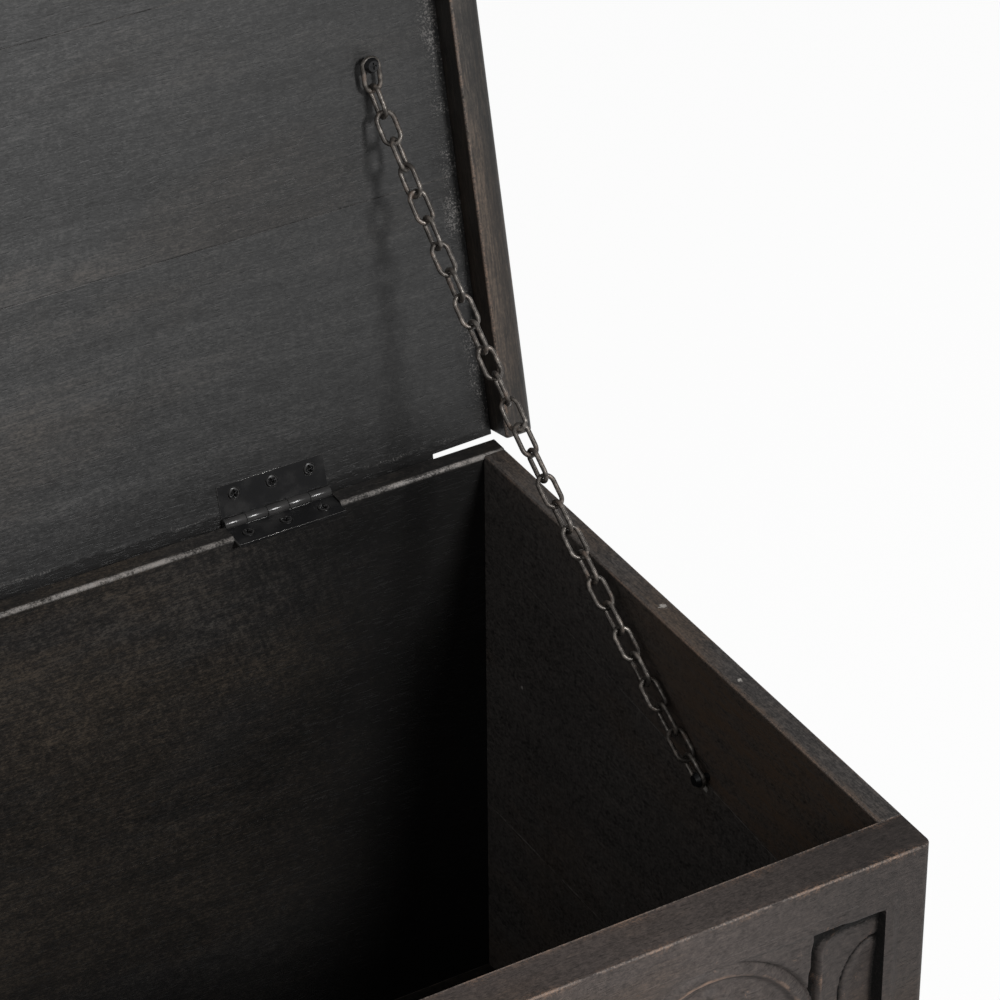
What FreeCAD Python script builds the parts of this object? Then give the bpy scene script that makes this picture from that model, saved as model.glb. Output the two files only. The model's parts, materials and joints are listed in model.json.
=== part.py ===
import FreeCAD
import Part
import Sketcher
import math
import os
import re

from FreeCAD import Placement, Rotation, Vector

# Carved chest with a chain-held lid, in millimetres. X runs along the front, Y from front to back
# and Z up. The origin lies on the ground, at the middle of the carcass.

SIZES = {
    # carcass
    "inside_length": 790.0,
    "inside_depth": 372.0,
    "inside_height": 353.0,
    "front_wall": 26.0,
    "back_wall": 12.0,
    "side_wall": 13.0,
    "side_plank_front": 88.0,
    "side_plank_back": 55.0,
    "back_plank_height": 190.0,
    "wall_foot": 14.0,
    "dowel_radius": 3.0,
    "dowel_in_side": 18.0,
    "dowel_in_front": 12.0,
    "dowel_in_back": 7.0,
    # floor and base
    "floor_height": 34.0,
    "floor_board": 10.0,
    "cleat_width": 18.0,
    "cleat_depth": 20.0,
    "bearer_width": 30.0,
    "plinth_height": 100.0,
    "plinth_board": 14.0,
    "plinth_round": 8.0,
    "foot_block": 60.0,
    # carved front
    "stile_width": 25.2,
    "top_rail": 29.0,
    "field_sink": 1.5,
    "medallion_columns": 4.0,
    "medallion_rows": 2.0,
    "medallion_radius": 59.7,
    "medallion_ring": 7.3,
    "medallion_sink": 5.5,
    "boss_radius": 15.0,
    "boss_sink": 1.0,
    "niche_width": 82.0,
    "niche_sink": 11.0,
    "arch_width": 72.0,
    "arch_sink": 3.0,
    # lid
    "lid_open_angle": 103.0,
    "lid_board": 18.0,
    "lid_plank_depth": 151.5,
    "lid_back_over": 1.5,
    "lid_slit_depth": 4.5,
    "lid_slit_end": 36.6,
    "lid_slit_middle": 156.0,
    "rim_clearance": 0.6,
    "rim_width": 17.0,
    "rim_drop": 17.3,
    "rim_back_gap": 3.0,
    "rim_round": 5.0,
    # butt hinges
    "hinge_length": 63.5,
    "hinge_from_side": 119.5,
    "hinge_knuckles": 5.0,
    "hinge_axis_back": 0.6,
    "hinge_axis_up": 0.6,
    "hinge_axis_to_leaf": 1.6,
    "leaf_width": 21.0,
    "leaf_thickness": 1.5,
    "lid_leaf_recess": 0.8,
    "recess_play": 0.2,
    "barrel_radius": 2.8,
    "barrel_play": 0.3,
    "pin_radius": 1.2,
    "pin_play": 0.05,
    "wall_screw_row": 10.4,
    "lid_screw_row": 15.0,
    "hinge_screw_pitch": 22.5,
    "screw_head_radius": 3.6,
    "screw_shank_radius": 1.4,
    "screw_length": 12.0,
    "screw_play": 0.1,
    "cross_length": 3.6,
    "cross_width": 0.9,
    "cross_depth": 1.0,
    # stay chains
    "link_pitch": 14.7,
    "link_wire": 2.6,
    "link_width": 11.8,
    "link_play": 0.3,
    "chain_sag": 13.0,
    "lid_anchor_from_axis": 223.0,
    "lid_anchor_from_side": 31.0,
    "lid_anchor_stand": 5.4,
    "wall_anchor_from_front": 147.5,
    "wall_anchor_drop": 69.0,
    "wall_anchor_stand": 5.0,
    "anchor_head_radius": 4.2,
    "anchor_head": 2.2,
    "anchor_shank_radius": 2.0,
    "anchor_grip": 9.0,
}

WORD = re.compile(r"\b[a-z]+(?:_[a-z]+)*\b(?!\()")

doc = FreeCAD.newDocument("CarvedChest")
sheet = doc.addObject("Spreadsheet::Sheet", "Sizes")
for row, (alias, number) in enumerate(SIZES.items(), 1):
    sheet.set(f"A{row}", alias)
    sheet.set(f"B{row}", str(number))
    sheet.setAlias(f"B{row}", alias)
doc.recompute()

# Places worked out from the driving sizes.
OUT_X = "(inside_length / 2 + side_wall)"
IN_X = "(inside_length / 2)"
OUT_BACK = "((front_wall + inside_depth + back_wall) / 2)"
OUT_FRONT = f"(-{OUT_BACK})"
IN_FRONT = f"({OUT_FRONT} + front_wall)"
IN_BACK = f"({OUT_BACK} - back_wall)"
FLOOR_TOP = "(floor_height + floor_board)"
MOUTH = f"({FLOOR_TOP} + inside_height)"
AXIS_Y = f"({OUT_BACK} + hinge_axis_back)"
AXIS_Z = f"({MOUTH} + hinge_axis_up)"
LEAF_OUT = "(hinge_axis_to_leaf + leaf_thickness)"
LID_UNDER = f"({LEAF_OUT} - lid_leaf_recess)"
LID_TOP = f"({LID_UNDER} + lid_board)"
LID_BACK = "(lid_back_over)"
RIM_BACK = "(-rim_back_gap)"
LID_FRONT = f"({OUT_FRONT} - rim_clearance - {AXIS_Y})"
LID_X = f"({OUT_X} + rim_clearance)"
KNUCKLE = "(hinge_length / hinge_knuckles)"

SIDES = {"right": "1", "left": "-1"}
pieces = []


def formula(text):
    return WORD.sub(r"Sizes.\g<0>", text)


def bind(thing, prop, text):
    thing.setExpression(prop, formula(text))


def value(text):
    return float(sheet.evalExpression(formula(text)))


def keep(thing, label):
    thing.Label = label
    pieces.append(thing)
    return thing


def place(thing, at, tilt="0", axis=Vector(1, 0, 0)):
    thing.Placement = Placement(Vector(), Rotation(axis, 1))
    for letter, text in zip("xyz", at):
        bind(thing, f"Placement.Base.{letter}", text)
    bind(thing, "Placement.Rotation.Angle", tilt)
    return thing


def on_lid(at):
    # a point given with the lid shut, from the hinge axis, carried round to where the lid stands open
    x, y, z = at
    turn = "lid_open_angle"
    return (
        x,
        f"{AXIS_Y} + ({y}) * cos({turn}) + ({z}) * sin({turn})",
        f"{AXIS_Z} - ({y}) * sin({turn}) + ({z}) * cos({turn})",
    )


def place_on_lid(thing, at, turn="0"):
    return place(thing, on_lid(at), f"({turn}) - lid_open_angle")


def block(name, low, high, lid=False):
    thing = doc.addObject("Part::Box", name)
    for prop, start, end in zip(("Length", "Width", "Height"), low, high):
        bind(thing, prop, f"({end}) - ({start})")
    return place_on_lid(thing, low) if lid else place(thing, low)


def slant_block(name, low, high, low_back, high_back):
    # a block whose foot and head stand at other heights at the back than at the front
    thing = doc.addObject("Part::Wedge", name)
    x, y, z = low
    spans = {
        "Xmin": "0", "X2min": "0", "Ymin": "0", "Zmin": "0",
        "Xmax": f"({high[0]}) - ({x})", "X2max": f"({high[0]}) - ({x})",
        "Ymax": f"({high[1]}) - ({y})", "Zmax": f"({high[2]}) - ({z})",
        "Z2min": f"({low_back}) - ({z})", "Z2max": f"({high_back}) - ({z})",
    }
    for prop, text in spans.items():
        bind(thing, prop, text)
    return place(thing, low)


def rod(name, radius, length, at, tilt="0", axis=Vector(1, 0, 0), lid=False):
    thing = doc.addObject("Part::Cylinder", name)
    bind(thing, "Radius", radius)
    bind(thing, "Height", length)
    return place_on_lid(thing, at, tilt) if lid else place(thing, at, tilt, axis)


def cross_rod(name, radius, length, at, lid=False):
    # a rod along X, the same whether the lid is open or shut
    return rod(name, radius, length, on_lid(at) if lid else at, "90", Vector(0, 1, 0))


def cone(name, low_radius, high_radius, height, at, lid=False):
    thing = doc.addObject("Part::Cone", name)
    bind(thing, "Radius1", low_radius)
    bind(thing, "Radius2", high_radius)
    bind(thing, "Height", height)
    return place_on_lid(thing, at) if lid else place(thing, at)


def fuse(name, things):
    thing = doc.addObject("Part::MultiFuse", name)
    thing.Shapes = things
    return thing


def cut(name, base, tools):
    thing = doc.addObject("Part::Cut", name)
    thing.Base = base
    thing.Tool = tools[0] if len(tools) == 1 else fuse(f"{name}_cutters", tools)
    return thing


def group(name, things):
    thing = doc.addObject("Part::Compound", name)
    thing.Links = things
    return thing


def plane_sketch(body, role, name, offset="0"):
    sketch = body.newObject("Sketcher::SketchObject", name)
    plane = next(f for f in body.Origin.OriginFeatures if f.Role == role)
    sketch.AttachmentSupport = (plane, [""])
    sketch.MapMode = "FlatFace"
    bind(sketch, "AttachmentOffset.Base.z", offset)
    return sketch


def pin_point(sketch, geometry, end, x, y):
    for kind, text in (("DistanceX", x), ("DistanceY", y)):
        index = sketch.addConstraint(
            Sketcher.Constraint(kind, -1, 1, geometry, end, value(text))
        )
        bind(sketch, f"Constraints[{index}]", text)


def draw_outline(sketch, points):
    spots = [Vector(value(x), value(y), 0) for x, y in points]
    ends = spots[1:] + spots[:1]
    first = sketch.GeometryCount
    for start, end in zip(spots, ends):
        sketch.addGeometry(Part.LineSegment(start, end), False)
    for step, (x, y) in enumerate(points):
        following = first + (step + 1) % len(points)
        sketch.addConstraint(
            Sketcher.Constraint("Coincident", first + step, 2, following, 1)
        )
        pin_point(sketch, first + step, 1, x, y)


def draw_rectangle(sketch, left, bottom, right, top):
    corners = [(left, bottom), (right, bottom), (right, top), (left, top)]
    draw_outline(sketch, corners)


def draw_circle(sketch, x, y, radius):
    centre = Vector(value(x), value(y), 0)
    index = sketch.addGeometry(Part.Circle(centre, Vector(0, 0, 1), value(radius)), False)
    pin_point(sketch, index, 3, x, y)
    size = sketch.addConstraint(Sketcher.Constraint("Radius", index, value(radius)))
    bind(sketch, f"Constraints[{size}]", radius)


def feature(body, kind, name, sketch, length, reverse=False):
    # a pad or pocket; the solid has to grow or shrink by it
    before = 0 if body.Shape.isNull() else body.Shape.Volume
    step = body.newObject(f"PartDesign::{kind}", name)
    step.Profile = sketch
    bind(step, "Length", length)
    step.Reversed = reverse
    doc.recompute()
    grown = body.Shape.Volume - before
    if (grown <= 0) == (kind == "Pad"):
        raise ValueError(f"{name} changed the volume by {grown}")
    return step


def round_edges(body, name, base, radius, test):
    names = []
    for number, edge in enumerate(base.Shape.Edges, 1):
        if all(test(vertex.Point) for vertex in edge.Vertexes):
            names.append(f"Edge{number}")
    step = body.newObject("PartDesign::Fillet", name)
    step.Base = (base, names)
    bind(step, "Radius", radius)
    doc.recompute()


def near(one, other):
    return abs(one - other) < 1e-6


def plank_levels(foot, head, top_plank, lower_count):
    # boundaries from the foot to the head: equal lower planks under one top plank
    join = f"({head} - {top_plank})"
    levels = [
        f"({foot} + ({join} - {foot}) * {step} / {lower_count})"
        for step in range(lower_count)
    ]
    return levels + [join, head]


# Carved front board


def medallion_spots():
    columns = round(value("medallion_columns"))
    rows = round(value("medallion_rows"))
    for column in range(columns):
        for line in range(rows):
            x = f"({REPEAT} * ({column} + 0.5) - {FIELD_X})"
            z = f"({FIELD_TOP} - medallion_radius * {2 * line + 1})"
            yield x, z


def niche_centres():
    columns = round(value("medallion_columns"))
    return [f"({REPEAT} * {step} - {FIELD_X})" for step in range(columns + 1)]


FRONT_HEIGHT = f"({MOUTH} - wall_foot)"
FIELD_X = f"({OUT_X} - stile_width)"
FIELD_TOP = f"({FRONT_HEIGHT} - top_rail)"
FIELD_FOOT = f"({FIELD_TOP} - 2 * medallion_rows * medallion_radius)"
REPEAT = f"(2 * {FIELD_X} / medallion_columns)"


def draw_arch(sketch, x, reach_left, reach_right):
    # a long round-ended lobe that fills the height of the field; at its ends only half of it shows
    low, high = f"({FIELD_FOOT} + arch_width / 2)", f"({FIELD_TOP} - arch_width / 2)"
    left = f"({x} - arch_width / 2)" if reach_left else x
    right = f"({x} + arch_width / 2)" if reach_right else x
    corners = [
        (right, low if reach_right else FIELD_FOOT),
        (right, high if reach_right else FIELD_TOP),
        (left, high if reach_left else FIELD_TOP),
        (left, low if reach_left else FIELD_FOOT),
    ]
    spots = [Vector(value(across), value(up), 0) for across, up in corners]
    lines = []
    for start in (0, 2):
        line = sketch.addGeometry(Part.LineSegment(spots[start], spots[start + 1]), False)
        pin_point(sketch, line, 1, *corners[start])
        pin_point(sketch, line, 2, *corners[start + 1])
        lines.append(line)
    rise, fall = lines
    draw_arch_end(sketch, x, high, spots[1], spots[2], rise, fall)
    draw_arch_end(sketch, x, low, spots[3], spots[0], fall, rise)


def draw_arch_end(sketch, x, level, start, stop, before, after):
    # the round end from one straight side to the other, about a centre at the given level
    centre = Vector(value(x), value(level), 0)
    turn = [math.atan2(spot.y - centre.y, spot.x - centre.x) for spot in (start, stop)]
    circle = Part.Circle(centre, Vector(0, 0, 1), value("arch_width / 2"))
    arc = sketch.addGeometry(Part.ArcOfCircle(circle, *turn), False)
    sketch.addConstraint(Sketcher.Constraint("Coincident", before, 2, arc, 1))
    sketch.addConstraint(Sketcher.Constraint("Coincident", arc, 2, after, 1))
    index = sketch.addConstraint(Sketcher.Constraint("DistanceY", -1, 1, arc, 3, value(level)))
    bind(sketch, f"Constraints[{index}]", level)


def make_front_board():
    body = keep(doc.addObject("PartDesign::Body", "front_board"), "front_board")
    place(body, ("0", OUT_FRONT, "wall_foot"))
    sketch = plane_sketch(body, "XZ_Plane", "front_outline")
    draw_rectangle(sketch, f"-{OUT_X}", "0", OUT_X, FRONT_HEIGHT)
    feature(body, "Pad", "front_blank", sketch, "front_wall", True)
    sketch = plane_sketch(body, "XZ_Plane", "front_field_outline")
    draw_rectangle(sketch, f"-{FIELD_X}", FIELD_FOOT, FIELD_X, FIELD_TOP)
    feature(body, "Pocket", "front_field", sketch, "field_sink")
    sketch = plane_sketch(body, "XZ_Plane", "front_medallion_outline")
    for x, z in medallion_spots():
        draw_circle(sketch, x, z, "medallion_radius - medallion_ring")
    feature(body, "Pocket", "front_medallions", sketch, "medallion_sink")
    sketch = plane_sketch(body, "XZ_Plane", "front_boss_outline", "-medallion_sink")
    for x, z in medallion_spots():
        draw_circle(sketch, x, z, "boss_radius")
    feature(body, "Pad", "front_bosses", sketch, "medallion_sink - boss_sink")
    sketch = plane_sketch(body, "XZ_Plane", "front_niche_outline")
    for x in niche_centres():
        left = f"max({x} - niche_width / 2; -{FIELD_X})"
        right = f"min({x} + niche_width / 2; {FIELD_X})"
        draw_rectangle(sketch, left, FIELD_FOOT, right, FIELD_TOP)
    feature(body, "Pocket", "front_niches", sketch, "niche_sink")
    sketch = plane_sketch(body, "XZ_Plane", "front_arch_outline", "-niche_sink")
    centres = niche_centres()
    for x in centres:
        draw_arch(sketch, x, x != centres[0], x != centres[-1])
    feature(body, "Pad", "front_arches", sketch, "niche_sink - arch_sink")
    sketch = plane_sketch(body, "XZ_Plane", "front_dowel_outline", "-front_wall")
    for sign in SIDES.values():
        for height in side_dowel_heights(FRONT_LEVELS):
            draw_circle(sketch, f"{sign} * {WALL_MIDDLE}", f"{height} - wall_foot", "dowel_radius")
    feature(body, "Pocket", "front_dowel_holes", sketch, "dowel_in_front", True)


# Side and back walls


WALL_MIDDLE = "(inside_length / 2 + side_wall / 2)"
# the joint under a side wall's top plank climbs from the front to the back
FRONT_LEVELS = plank_levels("wall_foot", MOUTH, "side_plank_front", 2)
REAR_LEVELS = FRONT_LEVELS[:2] + [f"({MOUTH} - side_plank_back)", MOUTH]
BACK_LEVELS = plank_levels("wall_foot", MOUTH, "back_plank_height", 1)
SIDE_NAMES = ("lower", "middle", "upper")


def side_dowel_heights(levels):
    return [f"(({a} + {b}) / 2)" for a, b in zip(levels, levels[1:])]


def dowel_runs():
    # one dowel for each end of each side plank: its name, place, start and length
    front = (f"({IN_FRONT} - dowel_in_front)", "(dowel_in_front + dowel_in_side)", FRONT_LEVELS)
    back = (f"({IN_BACK} - dowel_in_side)", "(dowel_in_back + dowel_in_side)", REAR_LEVELS)
    for end, (start, length, levels) in (("front", front), ("back", back)):
        for side, sign in SIDES.items():
            for name, height in zip(SIDE_NAMES, side_dowel_heights(levels)):
                at = (f"{sign} * {WALL_MIDDLE}", start, height)
                yield end, side, name, at, length


def dowel(name, at, length):
    return rod(name, "dowel_radius", length, at, "-90")


def make_dowels():
    for end in ("front", "back"):
        made = [
            dowel(f"{end}_{side}_{name}_dowel", at, length)
            for edge, side, name, at, length in dowel_runs()
            if edge == end
        ]
        keep(group(f"{end}_corner_dowels", made), f"{end}_corner_dowels")


def make_side_planks():
    for side, sign in SIDES.items():
        low_x = IN_X if sign == "1" else f"(-{OUT_X})"
        high_x = OUT_X if sign == "1" else f"(-{IN_X})"
        for step, name in enumerate(SIDE_NAMES):
            label = f"{side}_side_{name}_plank"
            low, high = FRONT_LEVELS[step], FRONT_LEVELS[step + 1]
            blank = slant_block(f"{label}_blank", (low_x, IN_FRONT, low), (high_x, IN_BACK, high),
                                REAR_LEVELS[step], REAR_LEVELS[step + 1])
            holes = [
                dowel(f"{label}_{end}_bore", at, length)
                for end, edge, part, at, length in dowel_runs()
                if (edge, part) == (side, name)
            ]
            if name == "upper":
                holes.append(wall_anchor_bore(side, sign))
            keep(cut(label, blank, holes), label)


def wall_anchor_at(sign, out):
    x = f"{sign} * ({IN_X} - ({out}))"
    return (x, f"{IN_FRONT} + wall_anchor_from_front", f"{MOUTH} - wall_anchor_drop")


def into_wall(sign):
    # the turn that points a rod from the inside out through a side wall
    return "90" if sign == "1" else "-90"


def wall_anchor_bore(side, sign):
    at = wall_anchor_at(sign, "0")
    return rod(f"{side}_wall_anchor_bore", "anchor_shank_radius + screw_play",
               "anchor_grip", at, into_wall(sign), Vector(0, 1, 0))


def make_back_planks():
    for name, low, high in zip(("lower", "upper"), BACK_LEVELS, BACK_LEVELS[1:]):
        label = f"back_{name}_plank"
        blank = block(f"{label}_blank", (f"-{OUT_X}", IN_BACK, low), (OUT_X, OUT_BACK, high))
        holes = [
            dowel(f"{label}_{side}_{part}_bore", at, length)
            for end, side, part, at, length in dowel_runs()
            if end == "back"
        ]
        if name == "upper":
            for side, sign in SIDES.items():
                holes += wall_leaf_recess(side, sign)
        keep(cut(label, blank, holes), label)


# Floor and base


def make_floor():
    names = ("front", "middle", "back")
    depth = f"(({IN_BACK} - {IN_FRONT}) / 3)"
    for step, name in enumerate(names):
        low = f"({IN_FRONT} + {depth} * {step})"
        high = f"({IN_FRONT} + {depth} * {step + 1})"
        label = f"floor_{name}_plank"
        keep(block(label, (f"-{IN_X}", low, "floor_height"), (IN_X, high, FLOOR_TOP)), label)
    foot = "(floor_height - cleat_depth)"
    front = (f"{IN_FRONT}", f"({IN_FRONT} + cleat_width)")
    back = (f"({IN_BACK} - cleat_width)", f"{IN_BACK}")
    half = "(bearer_width / 2)"
    for name, (low, high) in (("front", front), ("back", back)):
        for side, start, end in (("left", f"-{IN_X}", f"-{half}"), ("right", half, IN_X)):
            label = f"floor_{name}_{side}_cleat"
            keep(block(label, (start, low, foot), (end, high, "floor_height")), label)
    keep(block("floor_bearer", (f"-{half}", IN_FRONT, "0"), (half, IN_BACK, "floor_height")),
         "floor_bearer")


def make_plinth_board(label, low, high, face):
    # a base board with its outer top edge rounded over
    body = keep(doc.addObject("PartDesign::Body", label), label)
    place(body, ("0", "0", "0"))
    sketch = plane_sketch(body, "XY_Plane", f"{label}_outline")
    draw_rectangle(sketch, low[0], low[1], high[0], high[1])
    pad = feature(body, "Pad", f"{label}_board", sketch, "plinth_height")
    index, text = face
    top, out = value("plinth_height"), value(text)
    round_edges(body, f"{label}_round", pad, "min(plinth_round; plinth_board * 0.9)",
                lambda point: near(point.z, top) and near(point[index], out))


def make_plinth():
    far_x = f"({OUT_X} + plinth_board)"
    front, back = f"({OUT_FRONT} - plinth_board)", f"({OUT_BACK} + plinth_board)"
    make_plinth_board("plinth_front", (f"-{far_x}", front), (far_x, OUT_FRONT), (1, front))
    make_plinth_board("plinth_back", (f"-{far_x}", OUT_BACK), (far_x, back), (1, back))
    make_plinth_board("plinth_right", (OUT_X, OUT_FRONT), (far_x, OUT_BACK), (0, far_x))
    make_plinth_board("plinth_left", (f"-{far_x}", OUT_FRONT), (f"-{OUT_X}", OUT_BACK),
                      (0, f"-{far_x}"))
    blocks = []
    for side, sign in SIDES.items():
        inner = f"({OUT_X} - foot_block)"
        low_x, high_x = (inner, OUT_X) if sign == "1" else (f"-{OUT_X}", f"-{inner}")
        for end, low, high in (("front", OUT_FRONT, f"({OUT_FRONT} + foot_block)"),
                               ("back", f"({OUT_BACK} - foot_block)", OUT_BACK)):
            blocks.append(block(f"{side}_{end}_foot_block", (low_x, low, "0"),
                                (high_x, high, "wall_foot")))
    keep(group("foot_blocks", blocks), "foot_blocks")


# Lid, drawn shut from the hinge axis and turned open


LID_JOIN = f"({LID_BACK} - lid_plank_depth)"
LID_MIDDLE = f"(({LID_JOIN} + {LID_FRONT}) / 2)"


def lid_slits():
    # the back edge stands off the wall at its middle and at its two ends
    start, end = f"{LID_BACK} - lid_slit_depth", f"{LID_BACK} + 1"
    spans = {
        "middle": ("-lid_slit_middle / 2", "lid_slit_middle / 2"),
        "right": (f"{LID_X} - lid_slit_end", f"{LID_X} + 1"),
        "left": (f"-{LID_X} - 1", f"-{LID_X} + lid_slit_end"),
    }
    foot, head = f"{LID_UNDER} - 1", f"{LID_TOP} + 1"
    return [block(f"lid_{name}_slit", (low, start, foot), (high, end, head), True)
            for name, (low, high) in spans.items()]


def make_lid_planks():
    levels = [LID_BACK, LID_JOIN, LID_MIDDLE, LID_FRONT]
    for name, high, low in zip(("back", "middle", "front"), levels, levels[1:]):
        label = f"lid_{name}_plank"
        blank = block(f"{label}_blank", (f"-{LID_X}", low, LID_UNDER), (LID_X, high, LID_TOP), True)
        holes = lid_slits() if name == "back" else []
        for side, sign in SIDES.items():
            if name == "back":
                holes += lid_leaf_recess(side, sign)
            if value(low) < -value("lid_anchor_from_axis") < value(high):
                holes.append(lid_anchor_bore(side, sign))
        keep(cut(label, blank, holes) if holes else blank, label)


def make_rim(label, low, high, faces):
    # an edge moulding that hangs below the lid, its lower edges rounded
    body = keep(doc.addObject("PartDesign::Body", label), label)
    place_on_lid(body, ("0", "0", "0"))
    sketch = plane_sketch(body, "XY_Plane", f"{label}_outline", f"{LID_UNDER} - rim_drop")
    draw_rectangle(sketch, low[0], low[1], high[0], high[1])
    pad = feature(body, "Pad", f"{label}_bar", sketch, "lid_board + rim_drop")
    index, inner, outer = faces
    foot, head = value(f"{LID_UNDER} - rim_drop"), value(LID_TOP)
    inner, outer = value(inner), value(outer)
    round_edges(body, f"{label}_round", pad, "min(rim_round; rim_width * 0.45)",
                lambda point: (near(point.z, foot) and near(point[index], inner))
                or (near(point.z, foot) and near(point[index], outer))
                or (near(point.z, head) and near(point[index], outer)))


def make_rims():
    far_x = f"({LID_X} + rim_width)"
    front = f"({LID_FRONT} - rim_width)"
    make_rim("lid_front_rim", (f"-{LID_X}", front), (LID_X, LID_FRONT), (1, LID_FRONT, front))
    make_rim("lid_right_rim", (LID_X, front), (far_x, RIM_BACK), (0, LID_X, far_x))
    make_rim("lid_left_rim", (f"-{far_x}", front), (f"-{LID_X}", RIM_BACK),
             (0, f"-{LID_X}", f"-{far_x}"))


# Butt hinges


def hinge_x(sign):
    return f"({sign} * ({IN_X} - hinge_from_side))"


def screw_spots(sign):
    for name, step in (("left", -1), ("middle", 0), ("right", 1)):
        yield name, f"{hinge_x(sign)} + {step} * hinge_screw_pitch"


def wall_leaf_recess(side, sign):
    # the seat for the leaf and barrel in the wall's top edge, with the pilot holes of its screws
    left = f"{hinge_x(sign)} - hinge_length / 2 - recess_play"
    right = f"{hinge_x(sign)} + hinge_length / 2 + recess_play"
    floor = f"{AXIS_Z} - {LEAF_OUT}"
    cutters = [block(f"{side}_wall_leaf_seat", (left, f"{IN_BACK} - 1", floor),
                     (right, f"{OUT_BACK} + 1", f"{MOUTH} + 1"))]
    for name, x in screw_spots(sign):
        at = (x, f"{AXIS_Y} - wall_screw_row", f"{floor} - screw_length")
        cutters.append(rod(f"{side}_{name}_wall_pilot", "screw_shank_radius + screw_play",
                           "screw_length + 1", at))
    return cutters


def lid_leaf_recess(side, sign):
    length = "(hinge_length + 2 * recess_play)"
    left = f"{hinge_x(sign)} - hinge_length / 2 - recess_play"
    right = f"{hinge_x(sign)} + hinge_length / 2 + recess_play"
    cutters = [
        block(f"{side}_lid_leaf_seat", (left, "-leaf_width - recess_play", f"{LID_UNDER} - 1"),
              (right, f"{LID_BACK} + 1", LEAF_OUT), True),
        cross_rod(f"{side}_lid_barrel_seat", "barrel_radius + barrel_play", length,
                  (left, "0", "0"), True),
    ]
    for name, x in screw_spots(sign):
        cutters.append(rod(f"{side}_{name}_lid_pilot", "screw_shank_radius + screw_play",
                           "screw_length + 1", (x, "-lid_screw_row", f"{LEAF_OUT} - 1"), lid=True))
    return cutters


def make_leaf(label, sign, lid):
    # a plate below or above the axis with every other knuckle of the barrel
    low = "hinge_axis_to_leaf" if lid else f"-{LEAF_OUT}"
    high = LEAF_OUT if lid else "-hinge_axis_to_leaf"
    start = f"({hinge_x(sign)} - hinge_length / 2)"
    end = f"({hinge_x(sign)} + hinge_length / 2)"
    row = "lid_screw_row" if lid else "wall_screw_row"
    where = on_lid if lid else shut
    reach = "(barrel_radius + barrel_play)"

    def plate(name, low_corner, high_corner):
        if lid:
            return block(name, low_corner, high_corner, True)
        return block(name, shut(low_corner), shut(high_corner))

    solids = [plate(f"{label}_plate", (start, "-leaf_width", low), (end, f"-{reach}", high))]
    for step in range(1 if lid else 0, round(value("hinge_knuckles")), 2):
        near_x = f"({start} + {KNUCKLE} * {step} + barrel_play / 2)"
        far_x = f"({start} + {KNUCKLE} * {step + 1} - barrel_play / 2)"
        solids.append(plate(f"{label}_tongue_{step}", (near_x, f"-{reach} - 1", low),
                            (far_x, "0", high)))
        solids.append(cross_rod(f"{label}_knuckle_{step}", "barrel_radius",
                                f"{far_x} - {near_x}", where((near_x, "0", "0"))))
    holes = [cross_rod(f"{label}_bore", "pin_radius + pin_play", "hinge_length + 2",
                       where((f"{start} - 1", "0", "0")))]
    wide, slim = "screw_head_radius + screw_play", "screw_shank_radius + screw_play"
    ends = (wide, slim) if lid else (slim, wide)
    for name, x in screw_spots(sign):
        at = (x, f"-{row}", low)
        sink = cone(f"{label}_{name}_sink", *ends, "leaf_thickness", at if lid else shut(at), lid)
        holes.append(sink)
    keep(cut(label, fuse(f"{label}_solid", solids), holes), label)


def shut(at):
    # a point given from the hinge axis, on the wall's side of the hinge
    return (at[0], f"{AXIS_Y} + ({at[1]})", f"{AXIS_Z} + ({at[2]})")


def cross_cut(name, top, x, y, frame, sign):
    # the two slots of a driver recess, sunk from the head's face along -sign
    low, high = f"{top} - cross_depth", f"{top} + 1"
    if sign < 0:
        low, high = f"{top} - 1", f"{top} + cross_depth"
    slots = []
    for way, (dx, dy) in enumerate((("cross_length", "cross_width"), ("cross_width", "cross_length"))):
        corners = [
            (f"{x} - {dx} / 2", f"{y} - {dy} / 2", low),
            (f"{x} + {dx} / 2", f"{y} + {dy} / 2", high),
        ]
        slots.append(frame(f"{name}_slot_{way}", *corners))
    return slots


def lid_block(name, low, high):
    return block(name, low, high, True)


def wall_block(name, low, high):
    return block(name, shut(low), shut(high))


def make_leaf_screws(label, sign, lid):
    screws = []
    row = "lid_screw_row" if lid else "wall_screw_row"
    for name, x in screw_spots(sign):
        part = f"{label}_{name}"
        if lid:
            at = (x, f"-{row}", "hinge_axis_to_leaf")
            head = cone(f"{part}_head", "screw_head_radius", "screw_shank_radius",
                        "leaf_thickness", at, True)
            shank = rod(f"{part}_shank", "screw_shank_radius", "screw_length",
                        (x, f"-{row}", LEAF_OUT), lid=True)
            slots = cross_cut(part, "hinge_axis_to_leaf", x, f"-{row}", lid_block, -1)
        else:
            head = cone(f"{part}_head", "screw_shank_radius", "screw_head_radius",
                        "leaf_thickness", shut((x, f"-{row}", f"-{LEAF_OUT}")))
            shank = rod(f"{part}_shank", "screw_shank_radius", "screw_length",
                        shut((x, f"-{row}", f"-{LEAF_OUT} - screw_length")))
            slots = cross_cut(part, "-hinge_axis_to_leaf", x, f"-{row}", wall_block, 1)
        screws.append(cut(part, fuse(f"{part}_solid", [head, shank]), slots))
    keep(group(label, screws), label)


def make_hinges():
    for side, sign in SIDES.items():
        make_leaf(f"{side}_hinge_wall_leaf", sign, False)
        make_leaf(f"{side}_hinge_lid_leaf", sign, True)
        start = f"{hinge_x(sign)} - hinge_length / 2"
        pin = cross_rod(f"{side}_hinge_pin", "pin_radius", "hinge_length", shut((start, "0", "0")))
        keep(pin, f"{side}_hinge_pin")
        make_leaf_screws(f"{side}_hinge_wall_screws", sign, False)
        make_leaf_screws(f"{side}_hinge_lid_screws", sign, True)


# Stay chains: the end link lies on the lid, the rest hangs from it to the side wall


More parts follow.
